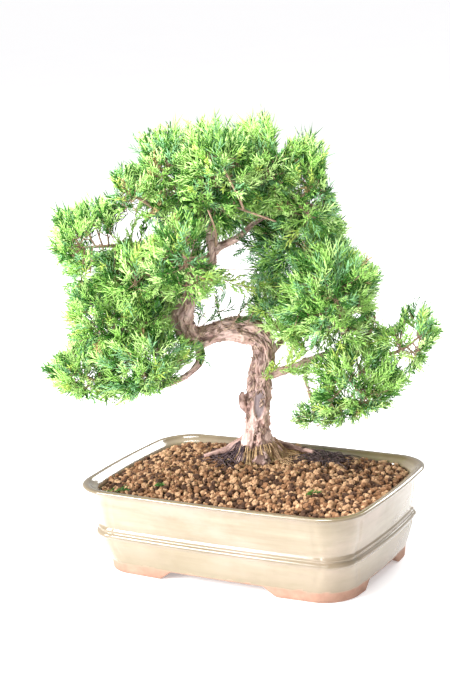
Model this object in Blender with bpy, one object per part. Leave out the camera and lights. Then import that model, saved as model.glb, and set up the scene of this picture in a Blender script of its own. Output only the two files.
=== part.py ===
# Juniper bonsai in a glazed oblong pot, in metres with +Z up.
# The pot's long side runs along X. The tree spreads in a plane that is turned from it,
# and a place on the tree is (across, deep, high) in that plane.
# At the end everything shifts so that the origin lies on the table under the middle of it all.

import math
import random

import bmesh
import bpy
import numpy as np
from mathutils import Matrix, Vector
from mathutils.bvhtree import BVHTree

# Clear space left between neighbouring solids
GAP = 0.0003

# Pot
POT_LENGTH = 0.205
POT_WIDTH = 0.1346
POT_BOW = 0.0035
FOOT_HEIGHT = 0.0063
FOOT_BAND = 0.012
FOOT_INSET = 0.012
FOOT_CORNER = 0.0185
FRONT_CHANNEL = (0.042, 0.033)
SIDE_CHANNEL = (0.025, 0.019)
DRAIN_RADIUS = 0.006
DRAIN_SPACING = 0.09
DRAIN_SIDES = 16
CORNER_STEPS = 5
LONG_STEPS = 5
SHORT_STEPS = 3

# Outer wall from the feet to the rim: inset from the rim's outline, height, corner radius
OUTER_WALL = (
    (FOOT_INSET + 0.0004, 0.0, FOOT_CORNER),
    (FOOT_INSET, FOOT_HEIGHT, FOOT_CORNER),
    (0.0103, 0.0128, 0.0178),
    (0.0088, 0.0195, 0.0166),
    (0.0084, 0.0238, 0.0158),
    (0.0070, 0.0252, 0.0150),
    (0.0070, 0.0272, 0.0150),
    (0.0086, 0.0284, 0.0156),
    (0.0078, 0.0297, 0.0152),
    (0.0090, 0.0312, 0.0158),
    (0.0078, 0.0350, 0.0170),
    (0.0060, 0.0440, 0.0190),
    (0.0052, 0.0556, 0.0205),
    (0.0010, 0.0566, 0.0222),
    (0.0, 0.0578, 0.0226),
    (0.0008, 0.0590, 0.0222),
    (0.0034, 0.0590, 0.0205),
)
# Inner wall from the rim to the floor
INNER_WALL = (
    (0.0046, 0.0580, 0.0200),
    (0.0088, 0.0546, 0.0180),
    (0.0096, 0.0450, 0.0170),
    (0.0122, 0.0300, 0.0140),
    (0.0150, 0.0165, 0.0130),
    (0.0185, 0.0115, 0.0110),
)

# Soil: a low mound that rises to a flat seat under the trunk
SOIL_EDGE = 0.0540
SEAT_HEIGHT = 0.0625
SEAT_RADIUS = 0.0215
SEAT_PLACE = (0.007, 0.023)
MOUND_RINGS = 3

# Tree
TREE_TURN = math.radians(30.8)
PATH_STEP = 0.0085

# Trunk from the soil, up, over the arch to the left and up again to its tip:
# across, deep, high, radius
TRUNK = (
    (0.005, 0.0210, SEAT_HEIGHT + GAP, 0.0105),
    (0.005, 0.0215, 0.071, 0.0090),
    (0.005, 0.0215, 0.081, 0.0076),
    (0.007, 0.0200, 0.100, 0.0077),
    (0.0095, 0.0190, 0.117, 0.0076),
    (0.0125, 0.0170, 0.133, 0.0070),
    (0.0090, 0.0150, 0.146, 0.0074),
    (-0.004, 0.0120, 0.152, 0.0078),
    (-0.018, 0.0100, 0.151, 0.0061),
    (-0.030, 0.0090, 0.149, 0.0066),
    (-0.0365, 0.0080, 0.157, 0.0058),
    (-0.0358, 0.0080, 0.167, 0.0048),
    (-0.0315, 0.0080, 0.1755, 0.0042),
    (-0.0240, 0.0085, 0.1825, 0.0038),
    (-0.0188, 0.0090, 0.1910, 0.0033),
    (-0.0163, 0.0095, 0.2005, 0.0029),
    (-0.0155, 0.0100, 0.2105, 0.0029),
    (-0.0168, 0.0110, 0.2215, 0.0022),
    (-0.0150, 0.0120, 0.2360, 0.0017),
)
TRUNK_SIDES = 12
FLARE_LOBES = 5
FLARE_SPREAD = 0.0085
FLARE_HEIGHT = 0.0075
BARK_LOBES = 3
BARK_DEPTH = 0.07

# Boughs, and two roots that lie on the soil: the limb that each leaves, then its places, as on the trunk
BOUGHS = {
    "bough_lower_left": ("trunk", (
        (-0.029, 0.009, 0.147, 0.0032),
        (-0.0285, 0.005, 0.135, 0.0026),
        (-0.036, 0.002, 0.1275, 0.0021),
        (-0.046, 0.000, 0.1232, 0.0018),
        (-0.063, -0.002, 0.1205, 0.0015),
        (-0.084, -0.004, 0.124, 0.0012),
    )),
    "bough_lower_left_side": ("bough_lower_left", (
        (-0.046, 0.000, 0.1232, 0.0015),
        (-0.048, -0.004, 0.1265, 0.0013),
        (-0.052, -0.007, 0.130, 0.0011),
    )),
    "bough_middle_left": ("trunk", (
        (-0.037, 0.008, 0.162, 0.0021),
        (-0.050, 0.005, 0.164, 0.0017),
        (-0.062, 0.002, 0.165, 0.0013),
    )),
    "bough_inner_left": ("trunk", (
        (-0.035, 0.008, 0.169, 0.0018),
        (-0.042, 0.003, 0.180, 0.0015),
        (-0.050, -0.001, 0.190, 0.0012),
    )),
    "bough_upper_left": ("trunk", (
        (-0.025, 0.0083, 0.1822, 0.0026),
        (-0.042, 0.012, 0.200, 0.0021),
        (-0.060, 0.010, 0.210, 0.0016),
        (-0.074, 0.006, 0.212, 0.0012),
    )),
    "bough_shoulder": ("trunk", (
        (-0.0175, 0.0092, 0.196, 0.0021),
        (-0.034, 0.008, 0.215, 0.0016),
        (-0.050, 0.005, 0.234, 0.0012),
    )),
    "bough_front": ("trunk", (
        (-0.029, 0.0078, 0.1775, 0.0018),
        (-0.0305, 0.000, 0.184, 0.0015),
        (-0.032, -0.007, 0.192, 0.0012),
    )),
    "bough_crown_left": ("trunk", (
        (-0.016, 0.0105, 0.216, 0.0020),
        (-0.023, 0.010, 0.226, 0.0016),
        (-0.030, 0.010, 0.236, 0.0012),
    )),
    "bough_crown_right": ("trunk", (
        (-0.0145, 0.0098, 0.205, 0.0027),
        (-0.007, 0.010, 0.208, 0.0023),
        (0.001, 0.010, 0.2115, 0.0020),
        (0.008, 0.011, 0.217, 0.0018),
        (0.015, 0.012, 0.2215, 0.0016),
        (0.029, 0.013, 0.226, 0.0012),
    )),
    "bough_apex_right": ("trunk", (
        (-0.0165, 0.011, 0.2225, 0.0019),
        (-0.009, 0.0135, 0.230, 0.0016),
        (0.002, 0.014, 0.239, 0.0012),
    )),
    "bough_right_drop": ("bough_crown_right", (
        (0.0195, 0.0125, 0.223, 0.0015),
        (0.025, 0.016, 0.218, 0.0013),
        (0.028, 0.018, 0.213, 0.0011),
    )),
    "bough_lower_right": ("trunk", (
        (0.0105, 0.019, 0.118, 0.0036),
        (0.023, 0.015, 0.1213, 0.0029),
        (0.039, 0.010, 0.1275, 0.0025),
        (0.052, 0.007, 0.132, 0.0022),
        (0.070, 0.004, 0.1335, 0.0018),
        (0.090, 0.001, 0.131, 0.0013),
    )),
    "bough_riser": ("bough_lower_right", (
        (0.061, 0.0055, 0.133, 0.0018),
        (0.065, 0.004, 0.143, 0.0015),
        (0.063, 0.000, 0.156, 0.0011),
    )),
    "bough_right_side": ("bough_lower_right", (
        (0.072, 0.004, 0.1335, 0.0015),
        (0.076, 0.006, 0.138, 0.0013),
        (0.079, 0.008, 0.142, 0.0011),
    )),
    "bough_right_low": ("bough_lower_right", (
        (0.052, 0.007, 0.132, 0.0016),
        (0.055, 0.003, 0.129, 0.0013),
        (0.058, -0.002, 0.126, 0.0011),
    )),
    "bough_hanging": ("bough_lower_right", (
        (0.039, 0.010, 0.1275, 0.0013),
        (0.038, 0.007, 0.116, 0.0011),
        (0.040, 0.004, 0.108, 0.0009),
    )),
    "bough_inner_right": ("trunk", (
        (0.009, 0.015, 0.145, 0.0018),
        (0.018, 0.016, 0.149, 0.0014),
        (0.022, 0.017, 0.152, 0.0011),
    )),
    "bough_back_left": ("trunk", (
        (-0.037, 0.008, 0.160, 0.0025),
        (-0.041, 0.024, 0.166, 0.0019),
        (-0.047, 0.034, 0.170, 0.0013),
    )),
    "bough_back_right": ("trunk", (
        (0.012, 0.017, 0.129, 0.0026),
        (0.026, 0.030, 0.138, 0.0020),
        (0.042, 0.037, 0.148, 0.0013),
    )),
    "bough_back_crown": ("trunk", (
        (-0.0155, 0.010, 0.2125, 0.0023),
        (-0.010, 0.024, 0.219, 0.0018),
        (-0.006, 0.034, 0.224, 0.0012),
    )),
    "root_right": ("trunk", (
        (0.011, 0.026, 0.0725, 0.0026),
        (0.019, 0.027, 0.069, 0.0023),
        (0.029, 0.024, 0.0662, 0.0018),
        (0.041, 0.0175, 0.0642, 0.0012),
    )),
    "root_left": ("trunk", (
        (-0.003, 0.024, 0.0735, 0.0030),
        (-0.0105, 0.0255, 0.070, 0.0027),
        (-0.019, 0.0255, 0.0668, 0.0020),
        (-0.031, 0.0245, 0.0648, 0.0012),
    )),
}
BOUGH_SIDES = 6

# Masses of foliage: the limb whose tip carries each, its middle, its half sizes
# and the number of its twigs
MASSES = {
    "foliage_apex": ("trunk", (-0.010, 0.000, 0.251), (0.028, 0.034, 0.037), 7),
    "foliage_apex_left": ("bough_crown_left", (-0.041, 0.008, 0.253), (0.031, 0.032, 0.033), 7),
    "foliage_apex_right": ("bough_apex_right", (0.021, 0.010, 0.255), (0.027, 0.032, 0.034), 7),
    "foliage_crown_right": ("bough_crown_right", (0.046, 0.010, 0.239), (0.028, 0.032, 0.037), 7),
    "foliage_crown_back": ("bough_back_crown", (-0.004, 0.050, 0.236), (0.048, 0.028, 0.040), 6),
    "foliage_shoulder": ("bough_shoulder", (-0.061, 0.002, 0.242), (0.022, 0.028, 0.025), 6),
    "foliage_outer_left": ("bough_upper_left", (-0.089, 0.002, 0.213), (0.032, 0.030, 0.032), 7),
    "foliage_inner_left": ("bough_inner_left", (-0.066, -0.004, 0.196), (0.030, 0.032, 0.025), 6),
    "foliage_front": ("bough_front", (-0.033, -0.020, 0.205), (0.025, 0.024, 0.029), 6),
    "foliage_middle_left": ("bough_middle_left", (-0.079, 0.000, 0.168), (0.039, 0.034, 0.028), 8),
    "foliage_lower_left": ("bough_lower_left_side", (-0.064, -0.008, 0.137), (0.038, 0.032, 0.030), 8),
    "foliage_left_tip": ("bough_lower_left", (-0.103, -0.003, 0.134), (0.030, 0.030, 0.026), 7),
    "foliage_back_left": ("bough_back_left", (-0.058, 0.048, 0.178), (0.044, 0.028, 0.040), 6),
    "foliage_upper_right": ("bough_right_drop", (0.038, 0.022, 0.204), (0.038, 0.030, 0.027), 7),
    "foliage_middle_right": ("bough_riser", (0.057, -0.006, 0.173), (0.035, 0.032, 0.036), 8),
    "foliage_inner_right": ("bough_inner_right", (0.025, 0.018, 0.161), (0.021, 0.026, 0.027), 6),
    "foliage_right_side": ("bough_right_side", (0.085, 0.010, 0.154), (0.020, 0.024, 0.022), 5),
    "foliage_right_tip": ("bough_lower_right", (0.104, 0.000, 0.138), (0.024, 0.027, 0.029), 7),
    "foliage_right_low": ("bough_right_low", (0.070, -0.010, 0.112), (0.036, 0.028, 0.028), 7),
    "foliage_hanging": ("bough_hanging", (0.042, -0.002, 0.097), (0.021, 0.020, 0.016), 5),
    "foliage_back_right": ("bough_back_right", (0.062, 0.048, 0.162), (0.040, 0.028, 0.040), 7),
}
SEED = 19
CROWN_MIDDLE = (0.0, 0.010, 0.180)
# 2 makes a mass's room an ellipsoid, and more makes it fill its corners
FULLNESS = 2.8
TWIG_SHARE = 0.42
TWIG_SAG = 0.12
TWIG_SIDES = 3
TWIG_TAPER = 0.75
STEM_SIDES = 4
STEM_RINGS = 6
# Share of the way from a mass's middle to its far side where its stem ends
STEM_END = 0.35
# Twigs leave the stem at the ring nearest their end, drawn back towards its foot by this much
ROOT_PULL = 0.2
# A dense core's share of the mass's room, and how it varies and gives way to limbs
CORE_SHARE = 0.66
CORE_ROUGHNESS = 0.14
CORE_SHRINK = 0.88
SMALLEST_CORE = 0.3
TWIG_RADIUS = 0.0012
STEM_RADIUS = 0.0016
FROND_LENGTHS = (0.010, 0.036)
FROND_WIDTH = 0.85
FROND_THICKNESS = 0.0010
FROND_SINK = 0.0035
SIDE_PLACE = 0.7
SIDE_SPREAD = 0.8
REACH_SHARE = 0.98
SHRINK_STEP = 0.86
ROLL_STEP = 0.8
SHRINK_TRIES = 5
# How far past the mass's rounded outline a tooth may stand
TOOTH_SLACK = 1.18
# Half outline of a toothed spray, as shares of its length and width
FROND_OUTLINE = ((0.0, 0.0), (0.70, 0.50), (0.60, 0.15), (1.0, 0.0))

# Places where the crown is open, seen from the front and a little above:
# middle across and high, half sizes
OPEN_PLACES = (
    ((0.000, 0.202), (0.0115, 0.0110)),
    ((-0.008, 0.172), (0.0175, 0.0080)),
    ((-0.0685, 0.221), (0.0055, 0.0075)),
    ((0.024, 0.140), (0.0040, 0.0065)),
    ((0.031, 0.1135), (0.0100, 0.0070)),
    ((-0.012, 0.116), (0.0190, 0.0300)),
)
SIGHT_SLOPE = math.tan(math.radians(13.3))
SIGHT_DEPTH = 0.010

GLAZE = (0.47, 0.43, 0.27)
SOIL_BROWN = (0.27, 0.15, 0.08)
BARK_BROWN = (0.36, 0.24, 0.18)
FOLIAGE_GREEN = (0.13, 0.31, 0.07)


def clear_scene():
    for obj in list(bpy.data.objects):
        bpy.data.objects.remove(obj)


def make_material(name, colour, roughness, metallic=0.0):
    material = bpy.data.materials.new(name)
    material.use_nodes = True
    shader = material.node_tree.nodes["Principled BSDF"]
    shader.inputs["Base Color"].default_value = (*colour, 1.0)
    shader.inputs["Roughness"].default_value = roughness
    shader.inputs["Metallic"].default_value = metallic
    material.diffuse_color = (*colour, 1.0)
    return material


def add_object(name, vertices, faces, parent, material=None):
    mesh = bpy.data.meshes.new(name)
    mesh.from_pydata([tuple(v) for v in vertices], [], faces)
    mesh.validate()
    obj = bpy.data.objects.new(name, mesh)
    obj.parent = parent
    bpy.context.scene.collection.objects.link(obj)
    if material:
        mesh.materials.append(material)
    return obj


def shade(obj, angle=40.0):
    obj.data.shade_smooth()
    obj.data.set_sharp_from_angle(angle=math.radians(angle))


def bake_boolean(target, operation, cutter=None, group=None):
    """Applies one Boolean to the target and removes what it was joined with or cut by."""
    modifier = target.modifiers.new("join_or_cut", "BOOLEAN")
    modifier.operation = operation
    modifier.solver = "EXACT"
    others = [cutter] if cutter else list(group.objects)
    if cutter:
        modifier.object = cutter
    else:
        modifier.operand_type = "COLLECTION"
        modifier.collection = group
    bpy.context.view_layer.update()
    graph = bpy.context.evaluated_depsgraph_get()
    result = bpy.data.meshes.new_from_object(target.evaluated_get(graph))
    target.modifiers.clear()
    target.data = result
    for other in others:
        bpy.data.objects.remove(other)
    if group:
        bpy.data.collections.remove(group)


def between(a, b, share):
    return a + (b - a) * share


def pot_outline(inset, corner):
    """One level of the pot: a rectangle with round corners whose sides swell a little."""
    bow_x = POT_BOW
    bow_y = POT_BOW * POT_WIDTH / POT_LENGTH
    half_x = POT_LENGTH / 2 - inset - bow_x
    half_y = POT_WIDTH / 2 - inset - bow_y
    points = []
    quarters = (
        (1, -1, -90, SHORT_STEPS),
        (1, 1, 0, LONG_STEPS),
        (-1, 1, 90, SHORT_STEPS),
        (-1, -1, 180, LONG_STEPS),
    )
    for sign_x, sign_y, first, _ in quarters:
        for k in range(CORNER_STEPS + 1):
            turn = math.radians(first + 90 * k / CORNER_STEPS)
            x = sign_x * (half_x - corner) + corner * math.cos(turn)
            y = sign_y * (half_y - corner) + corner * math.sin(turn)
            points.append((x, y))
    outline = []
    per_corner = CORNER_STEPS + 1
    for q, (_, _, _, steps) in enumerate(quarters):
        outline.extend(points[q * per_corner:(q + 1) * per_corner])
        start = points[(q + 1) * per_corner - 1]
        end = points[(q + 1) * per_corner % len(points)]
        for k in range(1, steps):
            share = k / steps
            outline.append((between(start[0], end[0], share), between(start[1], end[1], share)))
    swollen = []
    for x, y in outline:
        out_x = bow_x * math.cos(math.pi / 2 * max(-1, min(1, y / half_y))) * x / half_x
        out_y = bow_y * math.cos(math.pi / 2 * max(-1, min(1, x / half_x))) * y / half_y
        swollen.append((x + out_x, y + out_y))
    return swollen


def loft(rings):
    """Vertices and faces of a closed skin through rings of equal count, capped at both ends."""
    count = len(rings[0])
    vertices = [point for ring in rings for point in ring]
    faces = []
    for level in range(len(rings) - 1):
        low = level * count
        high = low + count
        for k in range(count):
            after = (k + 1) % count
            faces.append((low + k, low + after, high + after))
            faces.append((low + k, high + after, high + k))
    faces.append(tuple(reversed(range(count))))
    faces.append(tuple(range(len(vertices) - count, len(vertices))))
    return vertices, faces


def wedge(half_low, half_high, reach, along_y):
    """A prism under the pot, wider at the table, that opens the way between two feet."""
    low, high = -0.001, FOOT_HEIGHT
    section = ((-half_low, low), (half_low, low), (half_high, high), (-half_high, high))
    rings = []
    for end in (-reach, reach):
        if along_y:
            rings.append([(across, -end, height) for across, height in section])
        else:
            rings.append([(end, across, height) for across, height in section])
    return loft(rings)


def make_pot(parent, material):
    rings = []
    for inset, height, corner in OUTER_WALL + INNER_WALL:
        rings.append([(x, y, height) for x, y in pot_outline(inset, corner)])
    vertices, faces = loft(rings)
    pot = add_object("pot", vertices, faces, parent, material)
    inside = pot_outline(FOOT_INSET + FOOT_BAND, FOOT_CORNER - FOOT_BAND / 2)
    recess = loft([[(x, y, z) for x, y in inside] for z in (-0.001, FOOT_HEIGHT)])
    cutters = [recess, wedge(*FRONT_CHANNEL, POT_WIDTH, True), wedge(*SIDE_CHANNEL, POT_LENGTH, False)]
    for side in (-1, 1):
        ring = []
        for k in range(DRAIN_SIDES):
            turn = 2 * math.pi * k / DRAIN_SIDES
            x = side * DRAIN_SPACING / 2 + DRAIN_RADIUS * math.cos(turn)
            ring.append((x, DRAIN_RADIUS * math.sin(turn)))
        cutters.append(loft([[(x, y, z) for x, y in ring] for z in (0.0, 0.02)]))
    for cutter in cutters:
        bake_boolean(pot, "DIFFERENCE", add_object("pot_cutter", *cutter, parent))
    shade(pot, 32.0)
    return pot


def turned(across, deep):
    """A place on the tree's plan, turned into the pot's frame."""
    c, s = math.cos(TREE_TURN), math.sin(TREE_TURN)
    return across * c - deep * s, across * s + deep * c


def mound_ring(share):
    """One ring of the soil's top, from the pot's wall at 0 to the trunk's seat at 1."""
    inset, _, corner = INNER_WALL[1]
    edge = pot_outline(inset + GAP, corner)
    middle_x, middle_y = turned(*SEAT_PLACE)
    height = between(SOIL_EDGE, SEAT_HEIGHT, math.sin(math.pi / 2 * share))
    ring = []
    for x, y in edge:
        away = Vector((x - middle_x, y - middle_y)).normalized() * SEAT_RADIUS
        ring.append((between(x, middle_x + away.x, share), between(y, middle_y + away.y, share), height))
    return ring


def make_soil(parent, material):
    """Soil that fills the pot inside its wall, with the mound on top."""
    rings = []
    for inset, height, corner in reversed(INNER_WALL[2:]):
        lift = GAP if not rings else 0.0
        rings.append([(x, y, height + lift) for x, y in pot_outline(inset + GAP, corner)])
    for k in range(MOUND_RINGS + 1):
        rings.append(mound_ring(k / MOUND_RINGS))
    soil = add_object("soil", *loft(rings), parent, material)
    shade(soil, 50.0)
    return soil


def smooth_path(marks, step=PATH_STEP):
    """Places and radii along a Catmull-Rom curve through the marks, one about every step."""
    marks = np.array(marks, float)
    ends = np.vstack([2 * marks[0] - marks[1], marks, 2 * marks[-1] - marks[-2]])
    rows = []
    for k in range(len(marks) - 1):
        a, b, c, d = ends[k:k + 4]
        count = max(1, round(np.linalg.norm(c[:3] - b[:3]) / step))
        for t in np.arange(count) / count:
            square = (2 * a - 5 * b + 4 * c - d) * t**2
            cube = (3 * b - a - 3 * c + d) * t**3
            rows.append(0.5 * (2 * b + (c - a) * t + square + cube))
    rows.append(marks[-1])
    return np.array(rows)


def tube(rows, sides, radius_at=None, grow=0.0, level_start=False):
    """Rings of a round limb carried along its path, with no twist between them."""
    places = rows[:, :3]
    rings = []
    normal = None
    for k, place in enumerate(places):
        along = places[min(k + 1, len(places) - 1)] - places[max(k - 1, 0)]
        along = Vector(along).normalized()
        if k == 0 and level_start:
            along = Vector((0, 0, 1))
        if normal is None:
            normal = along.orthogonal() if abs(along.z) < 0.9 else Vector((1, 0, 0))
        normal = (normal - along * normal.dot(along)).normalized()
        side = along.cross(normal)
        ring = []
        for s in range(sides):
            turn = 2 * math.pi * s / sides
            radius = rows[k, 3] if radius_at is None else radius_at(k, turn)
            arm = normal * math.cos(turn) + side * math.sin(turn)
            ring.append(Vector(place) + arm * (radius + grow))
        rings.append(ring)
    return loft(rings)


def trunk_radius(rows):
    """The trunk's radius at a ring and a turn: ribs all the way up, roots that flare at its foot."""
    def radius_at(k, turn):
        radius = rows[k, 3] * (1 + BARK_DEPTH * math.cos(BARK_LOBES * turn + 9 * rows[k, 2] / 0.1))
        above = rows[k, 2] - rows[0, 2]
        near_foot = math.exp(-above / FLARE_HEIGHT) if k < len(rows) / 3 else 0.0
        lobe = 0.55 + 0.45 * math.cos(FLARE_LOBES * turn + 0.6)
        return radius + FLARE_SPREAD * near_foot * lobe
    return radius_at


def limb_rows():
    rows = {"trunk": smooth_path(TRUNK)}
    for name, (_, marks) in BOUGHS.items():
        rows[name] = smooth_path(marks)
    return rows


def limb_solid(name, rows, grow=0.0):
    if name == "trunk":
        return tube(rows, TRUNK_SIDES, trunk_radius(rows), grow, level_start=True)
    return tube(rows, BOUGH_SIDES, grow=grow)


def make_limbs(parent, material):
    """The trunk and boughs: each bough starts inside the limb it leaves and is cut clear of it."""
    rows = limb_rows()
    limbs = {}
    for name, path in rows.items():
        limbs[name] = add_object(name, *limb_solid(name, path), parent, material)
    for name, (carrier, _) in BOUGHS.items():
        cutter = add_object("limb_cutter", *limb_solid(carrier, rows[carrier], 1.3 * GAP), parent)
        bake_boolean(limbs[name], "DIFFERENCE", cutter)
        keep_largest_shell(limbs[name].data)
    for limb in limbs.values():
        shade(limb, 60.0)
    return rows, limbs


def shells(bm):
    """Groups of faces that hang together."""
    left = set(bm.faces)
    groups = []
    while left:
        stack = [left.pop()]
        group = list(stack)
        while stack:
            for edge in stack.pop().edges:
                for face in edge.link_faces:
                    if face in left:
                        left.remove(face)
                        stack.append(face)
                        group.append(face)
        groups.append(group)
    return groups


def signed_volume(faces):
    total = 0.0
    for face in faces:
        corners = [v.co for v in face.verts]
        for k in range(1, len(corners) - 1):
            total += corners[0].dot(corners[k].cross(corners[k + 1])) / 6
    return total


def keep_largest_shell(mesh):
    """Drops loose scraps and fills any hollow that fusing sealed."""
    bm = bmesh.new()
    bm.from_mesh(mesh)
    bmesh.ops.triangulate(bm, faces=bm.faces)
    groups = sorted(shells(bm), key=signed_volume)
    waste = [face for group in groups[:-1] for face in group]
    bmesh.ops.delete(bm, geom=waste, context="FACES")
    loose = [v for v in bm.verts if not v.link_faces]
    bmesh.ops.delete(bm, geom=loose, context="VERTS")
    bm.to_mesh(mesh)
    bm.free()


def extent(direction, half):
    """How far a rounded body of these half sizes reaches from its middle."""
    return (np.abs(direction / half) ** FULLNESS).sum() ** (-1 / FULLNESS)


class Space:
    """The room that one mass of foliage keeps to: a rounded body, cut where its neighbours begin."""

    def __init__(self, name):
        _, middle, half, _ = MASSES[name]
        self.middle = np.array(middle)
        self.half = np.array(half)
        self.walls = []
        for other, (_, place, size, _) in MASSES.items():
            away = np.array(place) - self.middle
            apart = np.linalg.norm(away)
            if other == name:
                continue
            away = away / apart
            mine = extent(away, self.half)
            theirs = extent(away, np.array(size))
            if mine + theirs + 0.01 > apart:
                self.walls.append((away, apart * mine / (mine + theirs) - GAP))

    def holds(self, points, slack=1.0):
        points = np.asarray(points, float)
        off = points - self.middle
        if ((np.abs(off / self.half / slack) ** FULLNESS).sum(axis=1) > 1).any():
            return False
        if any((off @ away > limit).any() for away, limit in self.walls):
            return False
        seen_high = points[:, 2] + (points[:, 1] - SIGHT_DEPTH) * SIGHT_SLOPE
        for (across, high), (half_across, half_high) in OPEN_PLACES:
            inside = ((points[:, 0] - across) / half_across) ** 2 + ((seen_high - high) / half_high) ** 2
            if (inside < 1).any():
                return False
        return True

    def reach(self, start, direction, most=0.08, step=0.001):
        """How far a straight way from the start stays inside."""
        steps = np.arange(step, most, step)
        for length in steps:
            if not self.holds([start + direction * length]):
                return length - step
        return most


def bend(start, control, end, count):
    shares = np.linspace(0, 1, count)[:, None]
    return (1 - shares) ** 2 * start + 2 * shares * (1 - shares) * control + shares**2 * end


def unit(vector):
    return vector / np.linalg.norm(vector)


def frond(root, direction, roll, length):
    """A flat toothed spray: its outline given thickness, its root at the given place."""
    along = Vector(direction)
    across = Matrix.Rotation(roll, 3, along) @ along.orthogonal().normalized()
    up = along.cross(across)
    width = FROND_WIDTH * length
    right = [(x * length, y * width) for x, y in FROND_OUTLINE]
    left = [(x, -y) for x, y in reversed(right[1:-1])]
    rings = []
    for side in (-0.5, 0.5):
        lift = up * FROND_THICKNESS * side
        rings.append([Vector(root) + along * x + across * y + lift for x, y in right + left])
    return loft(rings)


def even_directions(count, pole, turn):
    """Directions spread evenly over a ball, the first of them at the pole."""
    pole = Vector(pole)
    side = pole.orthogonal().normalized()
    third = pole.cross(side)
    directions = [np.array(pole)]
    for k in range(1, count):
        high = 1 - 2 * (k + 0.5) / count
        flat = math.sqrt(1 - high * high)
        angle = turn + k * math.pi * (3 - math.sqrt(5))
        level = side * math.cos(angle) + third * math.sin(angle)
        directions.append(np.array(level * flat + pole * high))
    return directions


def touches(solid, guards):
    vertices, faces = solid
    tree = BVHTree.FromPolygons([Vector(v) for v in vertices], faces)
    return any(guard.overlap(tree) for guard in guards)


def frond_places(rng, twig):
    """Where sprays leave a twig, and which way: one at its end and one on its side."""
    end_way = unit(twig[-1] - twig[-2])
    place = SIDE_PLACE * (len(twig) - 1)
    low = int(place)
    way = unit(twig[low + 1] - twig[low])
    out = Vector(way).orthogonal().normalized()
    out = Matrix.Rotation(rng.uniform(0, 2 * math.pi), 3, Vector(way)) @ out
    side_way = unit(way + SIDE_SPREAD * np.array(out))
    return (
        (twig[-1] - end_way * FROND_SINK, end_way),
        (between(twig[low], twig[low + 1], place - low), side_way),
    )


def add_fronds(space, rng, twig, guards):
    """Toothed sprays on a twig, each shortened and turned until it keeps to the mass's room."""
    solids = []
    for place, way in frond_places(rng, twig):
        roll = rng.uniform(0, math.pi)
        length = min(FROND_LENGTHS[1], space.reach(place, way) * REACH_SHARE)
        for _ in range(SHRINK_TRIES):
            if length < FROND_LENGTHS[0]:
                break
            solid = frond(place, way, roll, length)
            if space.holds(solid[0], TOOTH_SLACK) and not touches(solid, guards):
                solids.append(solid)
                break
            length *= SHRINK_STEP
            roll += ROLL_STEP
    return solids


def dense_core(space, rng, guards):
    """A rough rounded body inside the sprays, smaller where it would touch a limb."""
    bm = bmesh.new()
    bmesh.ops.create_icosphere(bm, subdivisions=1, radius=1.0)
    directions = [np.array(v.co) for v in bm.verts]
    faces = [tuple(v.index for v in face.verts) for face in bm.faces]
    bm.free()
    most = float(space.half.max())
    share = CORE_SHARE
    reaches = []
    for direction in directions:
        way = space.reach(space.middle, direction, most) * (1 + CORE_ROUGHNESS * rng.uniform(-1, 1))
        for guard in guards:
            _, _, _, distance = guard.ray_cast(Vector(space.middle), Vector(direction), way * share)
            if distance is not None:
                way = min(way, CORE_SHRINK * distance / share)
        reaches.append(way)
    while share > SMALLEST_CORE:
        vertices = [space.middle + d * r * share for d, r in zip(directions, reaches)]
        if not touches((vertices, faces), guards):
            return vertices, faces
        share *= CORE_SHRINK
    return None


def stem_start(limb):
    """Where a mass's stem begins: just clear of its limb's flat tip."""
    tip = limb[-1, :3]
    way = unit(tip - limb[-2, :3])
    return tip + way * GAP * 1.2, way, limb[-1, 3]


def grow_mass(name, rows, guards, parent, material):
    """Stem, twigs and toothed sprays by one seeded rule, then fused into one solid."""
    carrier, _, _, twigs = MASSES[name]
    space = Space(name)
    rng = random.Random(SEED + list(MASSES).index(name))
    start, way, tip_radius = stem_start(rows[carrier])
    middle = space.middle
    inward = unit(middle - start)
    far = middle + inward * space.reach(middle, inward) * STEM_END
    stem = bend(start, start + way * np.linalg.norm(middle - start) / 2, far, STEM_RINGS)
    radii = np.linspace(min(STEM_RADIUS, tip_radius), TWIG_RADIUS, STEM_RINGS)
    pieces = [tube(np.column_stack([stem, radii]), STEM_SIDES)]
    core = dense_core(space, rng, guards)
    if core:
        pieces.append(core)
    outward = unit(middle - np.array(CROWN_MIDDLE))
    for direction in even_directions(twigs, outward, rng.uniform(0, 2 * math.pi)):
        target = middle + direction * space.reach(middle, direction)
        cost = np.linalg.norm(stem - target, axis=1) + np.linalg.norm(stem - start, axis=1) * ROOT_PULL
        root = stem[1 + int(np.argmin(cost[1:]))]
        end = between(root, target, TWIG_SHARE)
        sag = np.array((0, 0, TWIG_SAG * np.linalg.norm(end - root)))
        twig = bend(root, between(root, end, 0.5) - sag, end, 3)
        if not space.holds(twig[1:]):
            continue
        widths = np.linspace(TWIG_RADIUS, TWIG_RADIUS * TWIG_TAPER, len(twig))
        solid = tube(np.column_stack([twig, widths]), TWIG_SIDES)
        if touches(solid, guards):
            continue
        pieces.append(solid)
        pieces.extend(add_fronds(space, rng, twig, guards))
    group = bpy.data.collections.new(name + "_pieces")
    bpy.context.scene.collection.children.link(group)
    for k, solid in enumerate(pieces[1:]):
        piece = add_object(f"{name}_piece_{k}", *solid, parent)
        bpy.context.scene.collection.objects.unlink(piece)
        group.objects.link(piece)
    mass = add_object(name, *pieces[0], parent, material)
    bake_boolean(mass, "UNION", group=group)
    keep_largest_shell(mass.data)
    return mass


def make_masses(rows, parent, material):
    guards = []
    for name, path in rows.items():
        vertices, faces = limb_solid(name, path, 2 * GAP)
        guards.append(BVHTree.FromPolygons([Vector(v) for v in vertices], faces))
    masses = []
    for name in MASSES:
        masses.append(grow_mass(name, rows, guards, parent, material))
    return masses


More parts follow.
